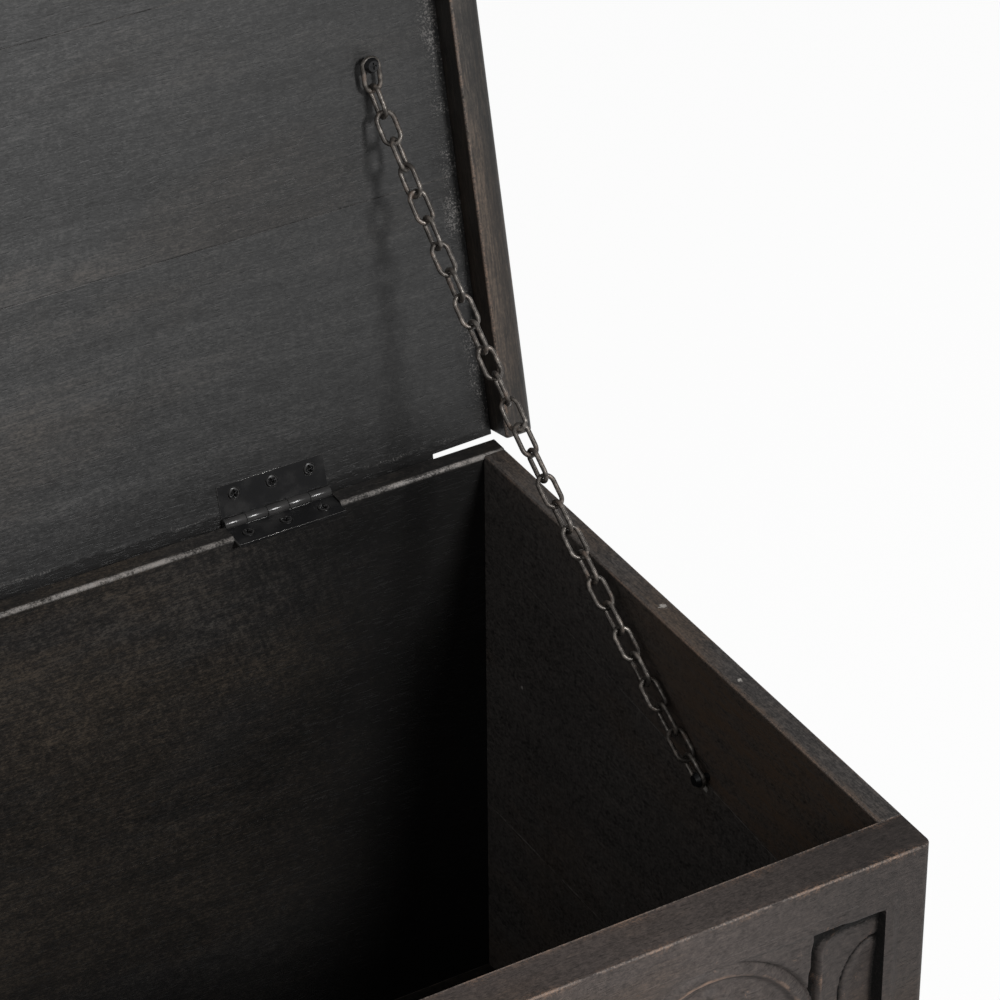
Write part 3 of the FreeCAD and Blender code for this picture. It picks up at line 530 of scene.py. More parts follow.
rounding = {  # how far each kind's edges are rounded, in millimetres
    "plank": 0.8, "backPlank": 0.05, "sidePlank": 0.25, "wallInner": 1.6, "wallOuter": 0.8,
    "plinth": 1.2, "plinthTop": 8, "lidPlank": 0.25, "lidBack": 0.4,
    "rim": 1.0, "rimInner": 1.6, "rimOuter": 5.0, "rimSideFoot": 4.2, "frontTop": 1.0,
}
lidJoint = next(joint for joint in frame["joints"] if joint["name"] == "lid_hinge")
hingeAxis = Vector(lidJoint["pos_m"])
openAngle = radians(lidJoint["range_deg"][1])
shutLid = (Matrix.Translation(hingeAxis) @ Matrix.Rotation(openAngle, 4, "X")
           @ Matrix.Translation(-hingeAxis))
openLid = shutLid.inverted()


def nodeSpots(node, onLid=False):
    # a node's corners, for the lid's nodes with the lid shut
    spots = [vertex.co.copy() for vertex in frame["nodes"][node].data.vertices]
    return [shutLid @ spot for spot in spots] if onLid else spots


def nodeBox(node, onLid=False):
    spots = nodeSpots(node, onLid)
    low = Vector([min(spot[axis] for spot in spots) for axis in range(3)])
    high = Vector([max(spot[axis] for spot in spots) for axis in range(3)])
    return low, high


def addVectors(mesh, name, vectors):
    layer = mesh.attributes.new(name, "FLOAT_VECTOR", "POINT")
    layer.data.foreach_set("vector", [number for vector in vectors for number in vector])


def grainOffset(low):
    # sets each board somewhere else in the log
    return Vector((low.x * 3.1 + low.y * 1.7, 0.13 + low.y * 2.3, 0.21 + low.y * 1.9))


def linkPiece(name, mesh, body, material, replaced):
    # a finished piece that rides its body in place of its CAD nodes
    piece = bpy.data.objects.new(name, mesh)
    bpy.context.scene.collection.objects.link(piece)
    mesh.materials.clear()
    mesh.materials.append(material)
    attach(piece, body)
    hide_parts(*replaced)
    return piece


def outlineSolid(outline, low, high, depthAxis):
    # a prism on an outline of (u, v) points, between two levels of the third axis
    build = bmesh.new()
    rings = []
    for level in (low, high):
        ring = []
        for u, v in outline:
            spot = [u, v]
            spot.insert(depthAxis, level)
            ring.append(build.verts.new(spot))
        rings.append(ring)
    build.faces.new(rings[0])
    build.faces.new(rings[1])
    count = len(outline)
    for step in range(count):
        following = (step + 1) % count
        build.faces.new([rings[0][step], rings[0][following], rings[1][following], rings[1][step]])
    bmesh.ops.recalc_face_normals(build, faces=build.faces)
    return build


def edgesOn(build, tests):
    # edges whose ends both lie at every given (axis, level)
    return [edge for edge in build.edges
            if all(abs(vertex.co[axis] - level) < 1e-6 for vertex in edge.verts for axis, level in tests)]


def soften(build, edges, size, segments=3):
    bmesh.ops.bevel(build, geom=edges, offset=size * mm, segments=segments, profile=0.5,
                    affect="EDGES", clamp_overlap=True)


def softenRest(build, size):
    # the sharp edges that no other rounding has touched
    sharp = [edge for edge in build.edges
             if len(edge.link_faces) == 2 and edge.calc_face_angle(0) > radians(60)]
    soften(build, sharp, size, 2)


def boardMesh(name, build, low, high, sides, turn=None):
    # writes the solid as a mesh whose points know how far the board's open sides are
    mesh = bpy.data.meshes.new(name)
    build.to_mesh(mesh)
    build.free()
    far = 1.0
    spots = [vertex.co.copy() for vertex in mesh.vertices]
    lows, highs = [], []
    for spot in spots:
        lows.append([spot[axis] - low[axis] + (0 if "-" + letter in sides else far)
                     for axis, letter in enumerate("XYZ")])
        highs.append([high[axis] - spot[axis] + (0 if "+" + letter in sides else far)
                      for axis, letter in enumerate("XYZ")])
    addVectors(mesh, "fromLow", lows)
    addVectors(mesh, "fromHigh", highs)
    addVectors(mesh, "grainSpot", [spot + grainOffset(low) for spot in spots])
    for face in mesh.polygons:  # only the rounded edges are smooth
        face.use_smooth = max(abs(part) for part in face.normal) < 0.992
    if turn is not None:
        mesh.transform(turn)
    return mesh


def boxOutline(low, high, depthAxis):
    u, v = [axis for axis in range(3) if axis != depthAxis]
    return [(low[u], low[v]), (high[u], low[v]), (high[u], high[v]), (low[u], high[v])]


def makeBoard(node, body, material, sides, kind, onLid=False, slot="dark_wood", rounds=(), short=0.0):
    # a plank in place of its CAD node, short at its front end; rounds lists (sides of an edge, its kind)
    low, high = nodeBox(node, onLid)
    low.y += short * mm
    build = outlineSolid(boxOutline(low, high, 2), low.z, high.z, 2)
    for pair, roundKind in rounds:
        tests = [("XYZ".index(side[1]), (high if side[0] == "+" else low)["XYZ".index(side[1])])
                 for side in pair]
        soften(build, edgesOn(build, tests), rounding[roundKind], 5)
    softenRest(build, rounding[kind])
    mesh = boardMesh(node + "_board", build, low, high, sides, openLid if onLid else None)
    return linkPiece(node + "_board", mesh, body, material, [node])


frontWood = stainedWood("frontWood", "X", frontLook)
carvedWood = stainedWood("carvedWood", "X", frontLook, "carved")
lidWood = stainedWood("lidWood", "X", lidLook)
lidBackWood = stainedWood("lidBackWood", "X", lidBackLook)
rimSideWood = stainedWood("rimSideWood", "Y", rimSideLook)
rimFrontWood = stainedWood("rimFrontWood", "X", rimLook)
backWood = stainedWood("backWood", "X", backLook)
floorWood = stainedWood("floorWood", "X", floorLook)
plainWood = stainedWood("plainWood", "X", floorLook, "plain")
bareWood = stainedWood("bareWood", "X", bareLook, "plain")
sideWood = stainedWood("sideWood", "Y", sideLook)
iron = agedIron()
lacquer = blackLacquer("blackLacquer", 0.42)
screwBlack = blackLacquer("screwBlack", 0.36)
headBlack = blackLacquer("headBlack", 0.34, True)
print("materials made")


# carcass planks


def makeSidePlank(node, sides, top):
    # a side plank whose joints may climb towards the back
    low, high = nodeBox(node)
    spots = nodeSpots(node)
    ends = []
    for level in (low.y, high.y):
        heights = [spot.z for spot in spots if abs(spot.y - level) < 1e-5]
        ends.append((level, min(heights), max(heights)))
    (front, frontFoot, frontHead), (back, backFoot, backHead) = ends
    outline = [(front, frontFoot), (back, backFoot), (back, backHead), (front, frontHead)]
    build = outlineSolid(outline, low.x, high.x, 0)
    if top:
        outer = high.x if high.x > 0 else low.x
        inner = low.x if high.x > 0 else high.x
        soften(build, edgesOn(build, [(0, outer), (2, high.z)]), rounding["wallOuter"], 3)
        soften(build, edgesOn(build, [(0, inner), (2, high.z)]), rounding["wallInner"], 4)
    softenRest(build, rounding["sidePlank"])
    mesh = boardMesh(node + "_board", build, low, high, sides)
    layer = mesh.attributes.new("joint", "FLOAT", "POINT")
    lowest = low.z < 0.1  # has no joint below it
    for vertex, value in zip(mesh.vertices, layer.data):
        part = (vertex.co.y - front) / (back - front)
        foot = frontFoot + (backFoot - frontFoot) * part
        value.value = 0.0 if lowest else 1 - (vertex.co.z - foot) / (high.z - foot)
    linkPiece(node + "_board", mesh, "chest", sideWood, [node])


for side, outer in (("right", "+X"), ("left", "-X")):
    makeSidePlank(f"{side}_side_lower_plank", [outer], False)
    makeSidePlank(f"{side}_side_middle_plank", [outer], False)
    makeSidePlank(f"{side}_side_upper_plank", ["-X", "+X", "+Z"], True)
makeBoard("back_lower_plank", "chest", backWood, [], "backPlank")
for level in ("front", "middle", "back"):
    makeBoard(f"floor_{level}_plank", "chest", floorWood, ["+Z", "+Y"], "plank")
for end in ("front", "back"):
    for side in ("left", "right"):
        makeBoard(f"floor_{end}_{side}_cleat", "chest", floorWood, ["-Z"], "plank")
makeBoard("floor_bearer", "chest", sideWood, ["-Z", "-X", "+X"], "plank")


def notchedOutline(low, high, spots):
    # the back wall's top plank, let in along its top edge for the hinge leaves
    outline = [(low.x, low.z), (high.x, low.z), (high.x, high.z)]
    for side in ("right", "left"):
        leafLow, leafHigh = nodeBox(f"{side}_hinge_wall_leaf")
        near = [spot for spot in spots if leafLow.x - 1 * mm < spot.x < leafHigh.x + 1 * mm]
        floor = max(spot.z for spot in near if spot.z < high.z - 1 * mm)
        start = max(spot.x for spot in near)
        end = min(spot.x for spot in near)
        outline += [(start, high.z), (start, floor), (end, floor), (end, high.z)]
    return outline + [(low.x, high.z)]


def makeBackTop():
    node = "back_upper_plank"
    low, high = nodeBox(node)
    build = outlineSolid(notchedOutline(low, high, nodeSpots(node)), low.y, high.y, 1)
    soften(build, edgesOn(build, [(1, low.y), (2, high.z)]), rounding["wallInner"], 4)
    soften(build, edgesOn(build, [(1, high.y), (2, high.z)]), rounding["wallOuter"], 3)
    mesh = boardMesh(node + "_board", build, low, high, ["+Z", "-Y"])
    linkPiece(node + "_board", mesh, "chest", backWood, [node])


makeBackTop()

# base
for end, face in (("front", "-Y"), ("back", "+Y")):
    makeBoard(f"plinth_{end}", "chest", frontWood, [face, "+Z", "-X", "+X", "-Z"], "plinth",
              rounds=[((face, "+Z"), "plinthTop")])
for side, face in (("right", "+X"), ("left", "-X")):
    makeBoard(f"plinth_{side}", "chest", sideWood, [face, "+Z", "-Z"], "plinth",
              rounds=[((face, "+Z"), "plinthTop")])
print("carcass planks made")


# lid

lidBack = {
    "lip": 1.2,  # how much closer the back edge comes to the wall than the plain plank
    "slitFill": (2.8, 2.0),  # how far its cut ends are filled, beside the lip and at the corner
}
lidBoard = {"onLid": True, "slot": "lid_wood"}
rimShort = 0.9  # how much shorter the side rims are at their front ends


def makeLidBack():
    # the plank by the hinges, its back edge cut away where it stands off the wall
    node = "lid_back_plank"
    low, high = nodeBox(node, True)
    spots = [spot for spot in nodeSpots(node, True) if abs(spot.z - high.z) < 1e-5]
    edge = [spot for spot in spots if spot.y > (low.y + high.y) / 2]
    slit = min(spot.y for spot in edge)
    middle, end = sorted({round(abs(spot.x), 5) for spot in edge})[:2]
    lip = high.y + lidBack["lip"] * mm
    near, corner = (slit + fill * mm for fill in lidBack["slitFill"])
    right = [(high.x, corner), (end, near), (end, lip), (middle, lip), (middle, slit)]
    outline = [(low.x, low.y), (high.x, low.y)] + right + [(-x, y) for x, y in reversed(right)]
    build = outlineSolid(outline, low.z, high.z, 2)
    softenRest(build, rounding["lidBack"])
    high.y = lip
    mesh = boardMesh(node + "_board", build, low, high, ["+Y", "-Y", "-Z"], openLid)
    linkPiece(node + "_board", mesh, "lid", lidBackWood, [node])


makeLidBack()
for level in ("middle", "front"):
    makeBoard(f"lid_{level}_plank", "lid", lidWood, ["+Y", "-Y", "-Z"], "lidPlank", **lidBoard)
for side, outer, inner in (("right", "+X", "-X"), ("left", "-X", "+X")):
    rounds = [((inner, "-Z"), "rimInner"), ((outer, "-Z"), "rimSideFoot"), ((outer, "+Z"), "rimOuter")]
    makeBoard(f"lid_{side}_rim", "lid", rimSideWood, ["-X", "+X", "-Z", "+Z", "+Y", "-Y"], "rim",
              rounds=rounds, short=rimShort, **lidBoard)
makeBoard("lid_front_rim", "lid", rimFrontWood, ["-Y", "+Y", "-Z", "+Z"], "rim", **lidBoard,
          rounds=[(("+Y", "-Z"), "rimInner"), (("-Y", "-Z"), "rimOuter"), (("-Y", "+Z"), "rimOuter")])
print("lid made")


# carved front: millimetres below the face, across the panel

carving = {
    # the board, its panel and the slab that the panel is carved from
    "corner": 4.5, "stile": 25.2, "rail": 29.0, "columns": 4, "rows": 2, "margin": 8.0, "grid": 1.12,
    "slab": 15.0, "sideStep": 0.1,
    "topDrop": 2.4, "topRise": 5.2, "riseOver": 108.0, "gouge": 0.3, "gougeScale": 130,
    # rings, rosettes and the ground between them
    "ringRadius": 59.7, "ringArris": 52.6, "ringGroove": 58.9, "spandrel": 1.5,
    "petals": 8, "petalRise": 2.7, "petalNotch": 9, "petalTip": (42, 48), "petalFoot": (13, 16),
    "vein": 0.8, "veinFoot": (16, 24), "veinTip": (30, 42),
    # niches, the lobe in each and the arch sunk in the lobe
    "nicheHalf": 39.6, "nicheSpread": 0.07, "spreadOver": 40,
    "archHalf": 36.0, "archHeight": 19.8, "archCentre": 18.5, "archSquare": 2.5, "archNarrow": 1.045,
    "archArris": 35.4, "trench": 4.2, "trenchSide": (36.8, 38.5), "trenchFoot": (6, 22),
    "innerHalf": 20.7, "innerHeight": 29.0, "innerCentre": 47.0,
    # depths by distance from the middle
    "ringProfile": [(0, 1.4), (8, 2.0), (12, 3.6), (13.5, 5.2), (30, 4.6), (44, 5.0), (48.6, 5.2),
                    (51.2, 2.6), (52.2, 1.4), (53.2, 1.0), (54.6, 1.6), (57.2, 3.0), (58.8, 4.6),
                    (60.1, 1.7), (64, 1.5)],
    "archProfile": [(0, 5.8), (24, 5.8), (30, 4.8), (34.0, 3.5), (35.4, 2.9), (36.6, 3.4), (38, 7.6),
                    (39.2, 9.4), (64, 9.4)],
    "innerProfile": [(0, 8.4), (10, 7.9), (15, 7.0), (18.0, 6.6), (19.4, 7.4), (20.7, 9.3),
                     (21.6, 7.0), (22.6, 0), (64, 0)],
}
profileReach = 64.0
profileDepth = 12.0


def carvedProfile(tree, distance, points):
    curve = [(place / profileReach, 1 - depth / profileDepth) for place, depth in points]
    sockets = {"Factor": 1.0, "Value": distance / profileReach}
    return (1 - tree.add("ShaderNodeFloatCurve", {"curve": curve}, sockets)) * profileDepth


def groupInput(tree, name, kind, value):
    socket = tree.nodeTree.interface.new_socket(name, in_out="INPUT", socket_type=kind)
    if value is not None:
        socket.default_value = value
    return socket.identifier


def newGeometryTree(name, inputs):
    nodeTree = bpy.data.node_groups.new(name, "GeometryNodeTree")
    tree = Tree(nodeTree)
    nodeTree.interface.new_socket("Geometry", in_out="OUTPUT", socket_type="NodeSocketGeometry")
    groupInput(tree, "Geometry", "NodeSocketGeometry", None)
    keys = {label: groupInput(tree, label, kind, value) for label, kind, value in inputs}
    start = nodeTree.nodes.new("NodeGroupInput")
    sockets = {out.name: Value(tree, out) for out in start.outputs if out.name}
    return tree, keys, sockets


def closeGeometryTree(tree, geometry, material):
    real = tree.add("GeometryNodeRealizeInstances", None, {0: geometry})
    dressed = tree.add("GeometryNodeSetMaterial", None, {"Geometry": real, "Material": material})
    tree.add("NodeGroupOutput", None, {0: dressed})


def growMesh(name, mesh, tree, values):
    # runs a node tree on a mesh and gives back the plain mesh it makes
    piece = bpy.data.objects.new(name + "_grow", mesh)
    bpy.context.scene.collection.objects.link(piece)
    modifier = piece.modifiers.new("grow", "NODES")
    modifier.node_group = tree.nodeTree
    for key, value in values.items():
        modifier[key] = value
    bpy.context.view_layer.update()
    evaluated = piece.evaluated_get(bpy.context.evaluated_depsgraph_get())
    made = bpy.data.meshes.new_from_object(evaluated)
    made.name = name
    piece.modifiers.remove(modifier)
    bpy.data.objects.remove(piece)
    return made


def longReach(across, drop):
    return (across * across + drop * drop).root()


def medallionDepth(tree, across, along):
    # a ring moulding round a rosette with a boss
    c = carving
    radius = longReach(across, along)
    angle = along.maths("ARCTAN2", along, across)
    petal = abs((angle * (c["petals"] / 2)).cosine())
    tip = (radius + c["petalNotch"] * (1 - petal)).fall(*c["petalTip"]) * radius.rise(*c["petalFoot"])
    vein = petal.rise(0.93, 0.99) * radius.rise(*c["veinFoot"]) * radius.fall(*c["veinTip"])
    depth = carvedProfile(tree, radius, c["ringProfile"]) - c["petalRise"] * petal.root() * tip
    ridge = tip * petal.rise(0.7, 0.95) * radius.rise(28, 40) * 0.5
    wear = radius.band(c["ringArris"], 2.6).larger(ridge).larger(radius.fall(6, 12) * 0.6)
    return radius, depth + c["vein"] * vein, wear


def nicheDepth(tree, across, fromEnd):
    # a round-headed lobe with a second arch sunk in it, standing in a trench
    c = carving
    drop = (c["archCentre"] - fromEnd).larger(0) * (c["archHalf"] / c["archHeight"])
    square = c["archSquare"]
    outer = (across ** square + drop ** square) ** (1 / square) * c["archNarrow"]
    drop = (c["innerCentre"] - fromEnd).larger(0) * (c["innerHalf"] / c["innerHeight"])
    inner = longReach(across, drop)
    trench = outer.rise(*c["trenchSide"]) * fromEnd.fall(*c["trenchFoot"]) * c["trench"]
    lobe = carvedProfile(tree, outer, c["archProfile"]) - trench
    hollow = carvedProfile(tree, inner, c["innerProfile"])
    arris = outer.band(c["archArris"], 2.4) * 0.5
    # the inner groove and the trench are marked for painted shade
    groove = inner.band(c["innerHalf"], 2.2, 0.2)
    pit = outer.rise(36.6, 38.4)
    return lobe.larger(hollow), arris, groove.larger(pit * 0.85)


def storeNumbers(tree, geometry, numbers):
    # keeps numbers on the points, for the materials
    for name, value in numbers.items():
        geometry = tree.add("GeometryNodeStoreNamedAttribute", {"data_type": "FLOAT", "domain": "POINT"},
                            {"Geometry": geometry, "Name": name, "Value": value})
    return geometry


def panelShade(fromSide, fromEnd, radius, relief, hollow, inNiche, inside):
    # painted shade: how dark a point is in the hollows, the ring's groove, the line under the rail, the
    # reveal at the stile and the panel's ends
    ringLine = radius.band(carving["ringGroove"], 1.4) * (1 - inNiche) * 0.4
    cavity = (hollow * inNiche).larger(ringLine) * inside
    topLine = fromEnd.band(0.8, 1.4, 0.2) * (0.3 + 0.5 * inNiche) * fromSide.rise(-0.1, 0)
    reveal = (abs(fromSide - 0.05) / 0.08).fall(0.9, 1.1) * relief.rise(2, 6) * fromEnd.rise(0.5, 3)
    # painted shade at the ends and sides of the niches
    edgeShade = (fromEnd.fall(4, 13) * 0.9).larger(fromSide.fall(0.5, 4) * 0.5) * inNiche * inside
    return cavity.larger(topLine).larger(reveal * 0.8).larger(edgeShade) * 0.93


def carvingTree():
    # sinks the slab's front by the relief, and marks its worn points and where it gets painted shade
    c = carving
    tree, keys, sockets = newGeometryTree("carvedRelief", [
        ("Half width", "NodeSocketFloat", 380.0), ("Column pitch", "NodeSocketFloat", 190.0),
        ("Row pitch", "NodeSocketFloat", 119.0), ("Top", "NodeSocketFloat", 350.0),
        ("Height", "NodeSocketFloat", 238.0)])
    place = tree.add("GeometryNodeInputPosition")
    x, y, z = (part / mm for part in tree.split(place))
    fromSide = sockets["Half width"] - abs(x)
    rise = (fromSide / c["riseOver"]).larger(0).smaller(1) * c["topRise"] - c["topDrop"]
    fall = sockets["Top"] + rise - z
    fromEnd = fall.smaller(sockets["Height"] - fall)
    inside = fromSide.rise(0.02, 0.08) * fromEnd.rise(-0.6, 0.6)
    half = sockets["Column pitch"] * 0.5
    fromNiche = (x + sockets["Half width"]).pingPong(half)
    rowHalf = sockets["Row pitch"] * 0.5
    radius, medallion, ringWear = medallionDepth(tree, half - fromNiche, rowHalf - fall.pingPong(rowHalf))
    niche, archWear, hollow = nicheDepth(tree, fromNiche, fromEnd)
    inRing = radius.fall(c["ringRadius"] - 0.3, c["ringRadius"] + 0.7)
    edge = fromNiche - c["nicheHalf"] - c["nicheSpread"] * fromEnd.smaller(c["spreadOver"])
    inNiche = edge.fall(-0.8, 0.6) * (1 - inRing)
    ground = medallion * inRing + c["spandrel"] * (1 - inRing)
    relief = ground * (1 - inNiche) + niche * inNiche
    gouge = c["gouge"] * (tree.noise(place, c["gougeScale"], 3) - 0.5)
    depth = (relief + gouge) * inside
    wear = (ringWear * inRing * (1 - inNiche)).larger(archWear * inNiche) * inside
    cavity = panelShade(fromSide, fromEnd, radius, relief, hollow, inNiche, inside)
    front = tree.add("GeometryNodeInputNamedAttribute", {"data_type": "FLOAT"}, {"Name": "carved"})
    shift = tree.join(0, depth.larger(0) * front * mm, 0)
    moved = tree.add("GeometryNodeSetPosition", None, {"Geometry": sockets["Geometry"], "Offset": shift})
    moved = storeNumbers(tree, moved, {"wear": wear * front, "cavity": cavity * front})
    closeGeometryTree(tree, moved, carvedWood)
    return tree, keys


def evenSteps(start, end, step):
    count = max(1, round(abs(end - start) / step))
    return [start + (end - start) * place / count for place in range(count + 1)]


def slabMesh(name, columns, rows, front, back, shift):
    # a closed slab whose front is a fine grid; the front's points carry 1 in "carved"
    build = bmesh.new()
    grid = [[build.verts.new((x, front, z)) for x in columns] for z in rows]
    for lower, upper in zip(grid, grid[1:]):
        for place in range(len(columns) - 1):
            build.faces.new([lower[place], lower[place + 1], upper[place + 1], upper[place]])
    border = (grid[0] + [line[-1] for line in grid[1:]] + grid[-1][-2::-1]
              + [line[0] for line in grid[-2:0:-1]])
    frontCount = len(build.verts)
    behind = [build.verts.new((vertex.co.x, back, vertex.co.z)) for vertex in border]
    count = len(border)
    for place in range(count):
        following = (place + 1) % count
        build.faces.new([border[place], behind[place], behind[following], border[following]])
    build.faces.new(behind)
    bmesh.ops.recalc_face_normals(build, faces=build.faces)
    mesh = bpy.data.meshes.new(name)
    build.to_mesh(mesh)
    build.free()
    layer = mesh.attributes.new("carved", "FLOAT", "POINT")
    layer.data.foreach_set("value", [1.0 if index < frontCount else 0.0
                                     for index in range(len(mesh.vertices))])
    addVectors(mesh, "grainSpot", [vertex.co + shift for vertex in mesh.vertices])
    return mesh


def pocketedBoard(low, high, slabLow, slabHigh):
    # the front board with rounded front corners and a rectangle sunk in its front
    build = outlineSolid(boxOutline(low, high, 1), low.y, high.y, 1)
    for x in (low.x, high.x):
        soften(build, edgesOn(build, [(0, x), (1, low.y)]), carving["corner"], 6)
    top = max(build.faces, key=lambda one: one.calc_center_median().z)
    behind = edgesOn(build, [(1, high.y), (2, high.z)])
    soften(build, [edge for edge in top.edges if edge not in behind], rounding["frontTop"], 3)
    soften(build, edgesOn(build, [(1, high.y), (2, high.z)]), rounding["wallOuter"], 3)
    face = min(build.faces, key=lambda one: one.calc_center_median().y)
    corners = [(slabLow.x, slabLow.z), (slabHigh.x, slabLow.z),
               (slabHigh.x, slabHigh.z), (slabLow.x, slabHigh.z)]
    ring = [min(face.verts, key=lambda one: (one.co.x - x) ** 2 + (one.co.z - z) ** 2) for x, z in corners]
    build.faces.remove(face)
    mouth, bed = ([build.verts.new((x, y, z)) for x, z in corners] for y in (slabLow.y, slabHigh.y))
    for place in range(4):
        following = (place + 1) % 4
        build.faces.new([ring[place], ring[following], mouth[following], mouth[place]])
        build.faces.new([mouth[place], mouth[following], bed[following], bed[place]])
    build.faces.new(bed)
    bmesh.ops.recalc_face_normals(build, faces=build.faces)
    return build


def makeFrontBoard():
    c = carving
    low, high = nodeBox("front_board")
    fieldX = high.x - c["stile"] * mm
    fieldTop = high.z - c["rail"] * mm
    fieldHeight = 2 * c["rows"] * c["ringRadius"] * mm
    spare = c["margin"] * mm
    slabLow = Vector((-fieldX - spare, low.y, fieldTop - fieldHeight - spare))
    slabHigh = Vector((fieldX + spare, low.y + c["slab"] * mm, fieldTop + spare))
    build = pocketedBoard(low, high, slabLow, slabHigh)
    mesh = boardMesh("front_frame", build, low, high, ["-Y", "+Y", "+Z"])
    linkPiece("front_frame", mesh, "chest", frontWood, ["front_board"])
    tree, keys = carvingTree()
    values = {
        keys["Half width"]: fieldX / mm,
        keys["Column pitch"]: 2 * fieldX / mm / c["columns"],
        keys["Row pitch"]: 2 * c["ringRadius"],
        keys["Top"]: fieldTop / mm,
        keys["Height"]: fieldHeight / mm,
    }
    step = c["grid"] * mm
    close = c["sideStep"] * mm
    columns = (evenSteps(0, fieldX - close, step) + [fieldX]
               + evenSteps(fieldX + close, fieldX + spare, 4 * step))
    rows = evenSteps(slabLow.z, slabHigh.z, step)
    for side, spread in (("right", columns), ("left", [-x for x in reversed(columns)])):
        name = f"front_carving_{side}"
        slab = slabMesh(name, spread, rows, slabLow.y, slabHigh.y, grainOffset(low))
        relief = growMesh(name, slab, tree, values)
        for polygon in relief.polygons:
            polygon.use_smooth = polygon.normal.y < -0.03
        linkPiece(name, relief, "chest", carvedWood, ["front_board"])


makeFrontBoard()
print("front carved")


# stay chains, hanging a little below the straight line

chain = {"pitch": 14.7, "wire": 2.6, "width": 11.8, "play": 0.3, "shank": 2.0, "sag": 13.0,
         "twistLinks": 4, "lateLinks": 3, "bendBefore": 2, "bendLinks": 3,
         "roundEnds": 12, "roundWire": 10, "roundShare": 0.9999}


def placeCopies(tree, piece, count, spots, axes, first, second):
    # copies of a piece at the spots, its two named axes turned to the given ways
    settings = {"primary_axis": axes[0], "secondary_axis": axes[1]}
    rotation = tree.add("FunctionNodeAxesToRotation", settings, {
        "Primary Axis": first, "Secondary Axis": second})
    points = tree.add("GeometryNodePoints", None, {"Count": count, "Position": spots})
    return tree.add("GeometryNodeInstanceOnPoints", None, {
        "Points": points, "Instance": piece, "Rotation": rotation})


def hangingSpot(tree, sockets, part):
    # a point of the hanging chain, by its share of the way
    straight = tree.vectors("ADD", sockets["Start"], tree.scaled(sockets["Span"], part))
    return tree.vectors("ADD", straight, tree.scaled(sockets["Sag"], part * (1 - part) * 4))


def chainTree():
    # oval links along the hanging line, each a quarter turn on from the last
    tree, keys, sockets = newGeometryTree("chainLinks", [
        ("Start", "NodeSocketVector", (0, 0, 0)), ("Span", "NodeSocketVector", (1, 0, 0)),
        ("Sag", "NodeSocketVector", (0, 0, 0)), ("Whole", "NodeSocketInt", 1),
        ("First", "NodeSocketInt", 0), ("Count", "NodeSocketInt", 1),
        ("Pitch", "NodeSocketFloat", 0.0147), ("Hook", "NodeSocketFloat", 0.0029),
        ("Width", "NodeSocketFloat", 0.0118), ("Wire", "NodeSocketFloat", 0.0026),
        ("Quarter turn", "NodeSocketFloat", 0.0), ("Half way twist", "NodeSocketFloat", 0.0)])
    half = (sockets["Width"] - sockets["Wire"]) * 0.5
    outline = tree.add("GeometryNodeCurvePrimitiveQuadrilateral", None, {
        "Width": sockets["Pitch"] + sockets["Hook"], "Height": half * 2})
    oval = tree.add("GeometryNodeFilletCurve", {"mode": "POLY"}, {
        "Curve": outline, "Count": chain["roundEnds"], "Radius": half * chain["roundShare"],
        "Limit Radius": True})
    section = tree.add("GeometryNodeCurvePrimitiveCircle", None, {
        "Resolution": chain["roundWire"], "Radius": sockets["Wire"] * 0.5})
    link = tree.add("GeometryNodeCurveToMesh", None, {"Curve": oval, "Profile Curve": section})
    link = tree.add("GeometryNodeSetShadeSmooth", None, {"Geometry": link, "Shade Smooth": True})
    number = tree.add("GeometryNodeInputIndex") + sockets["First"]
    start = hangingSpot(tree, sockets, number / sockets["Whole"])
    end = hangingSpot(tree, sockets, (number + 1) / sockets["Whole"])
    along = tree.unit(tree.vectors("SUBTRACT", end, start))
    lean = tree.vectors("DOT_PRODUCT", along, (1, 0, 0), 1)
    wide = tree.unit(tree.vectors("SUBTRACT", (1, 0, 0), tree.scaled(along, lean)))
    flat = tree.vectors("CROSS_PRODUCT", along, wide)
    twist = (number / chain["twistLinks"]).smaller(1) * (1 - sockets["Quarter turn"])
    links = chain["lateLinks"]
    late = ((number - sockets["Whole"] * 0.5 + links) / links).larger(0).smaller(1)
    roll = (number + twist + sockets["Quarter turn"] + late * sockets["Half way twist"]) * (pi / 2)
    normal = tree.vectors("ADD", tree.scaled(wide, roll.cosine()), tree.scaled(flat, roll.sine()))
    back = tree.vectors("SUBTRACT", start, tree.scaled(along, sockets["Hook"]))
    middle = tree.scaled(tree.vectors("ADD", back, end), 0.5)
    placed = placeCopies(tree, link, sockets["Count"], middle, "XZ", along, normal)
    closeGeometryTree(tree, placed, iron)
    return tree, keys


def makeRun(name, body, tree, keys, values):
    mesh = growMesh(name + "_links", bpy.data.meshes.new(name), tree,
                    {keys[label]: value for label, value in values.items()})
    linkPiece(name + "_links", mesh, body, iron, [name])


def jointAt(name):
    return Vector(next(joint for joint in frame["joints"] if joint["name"] == name)["pos_m"])


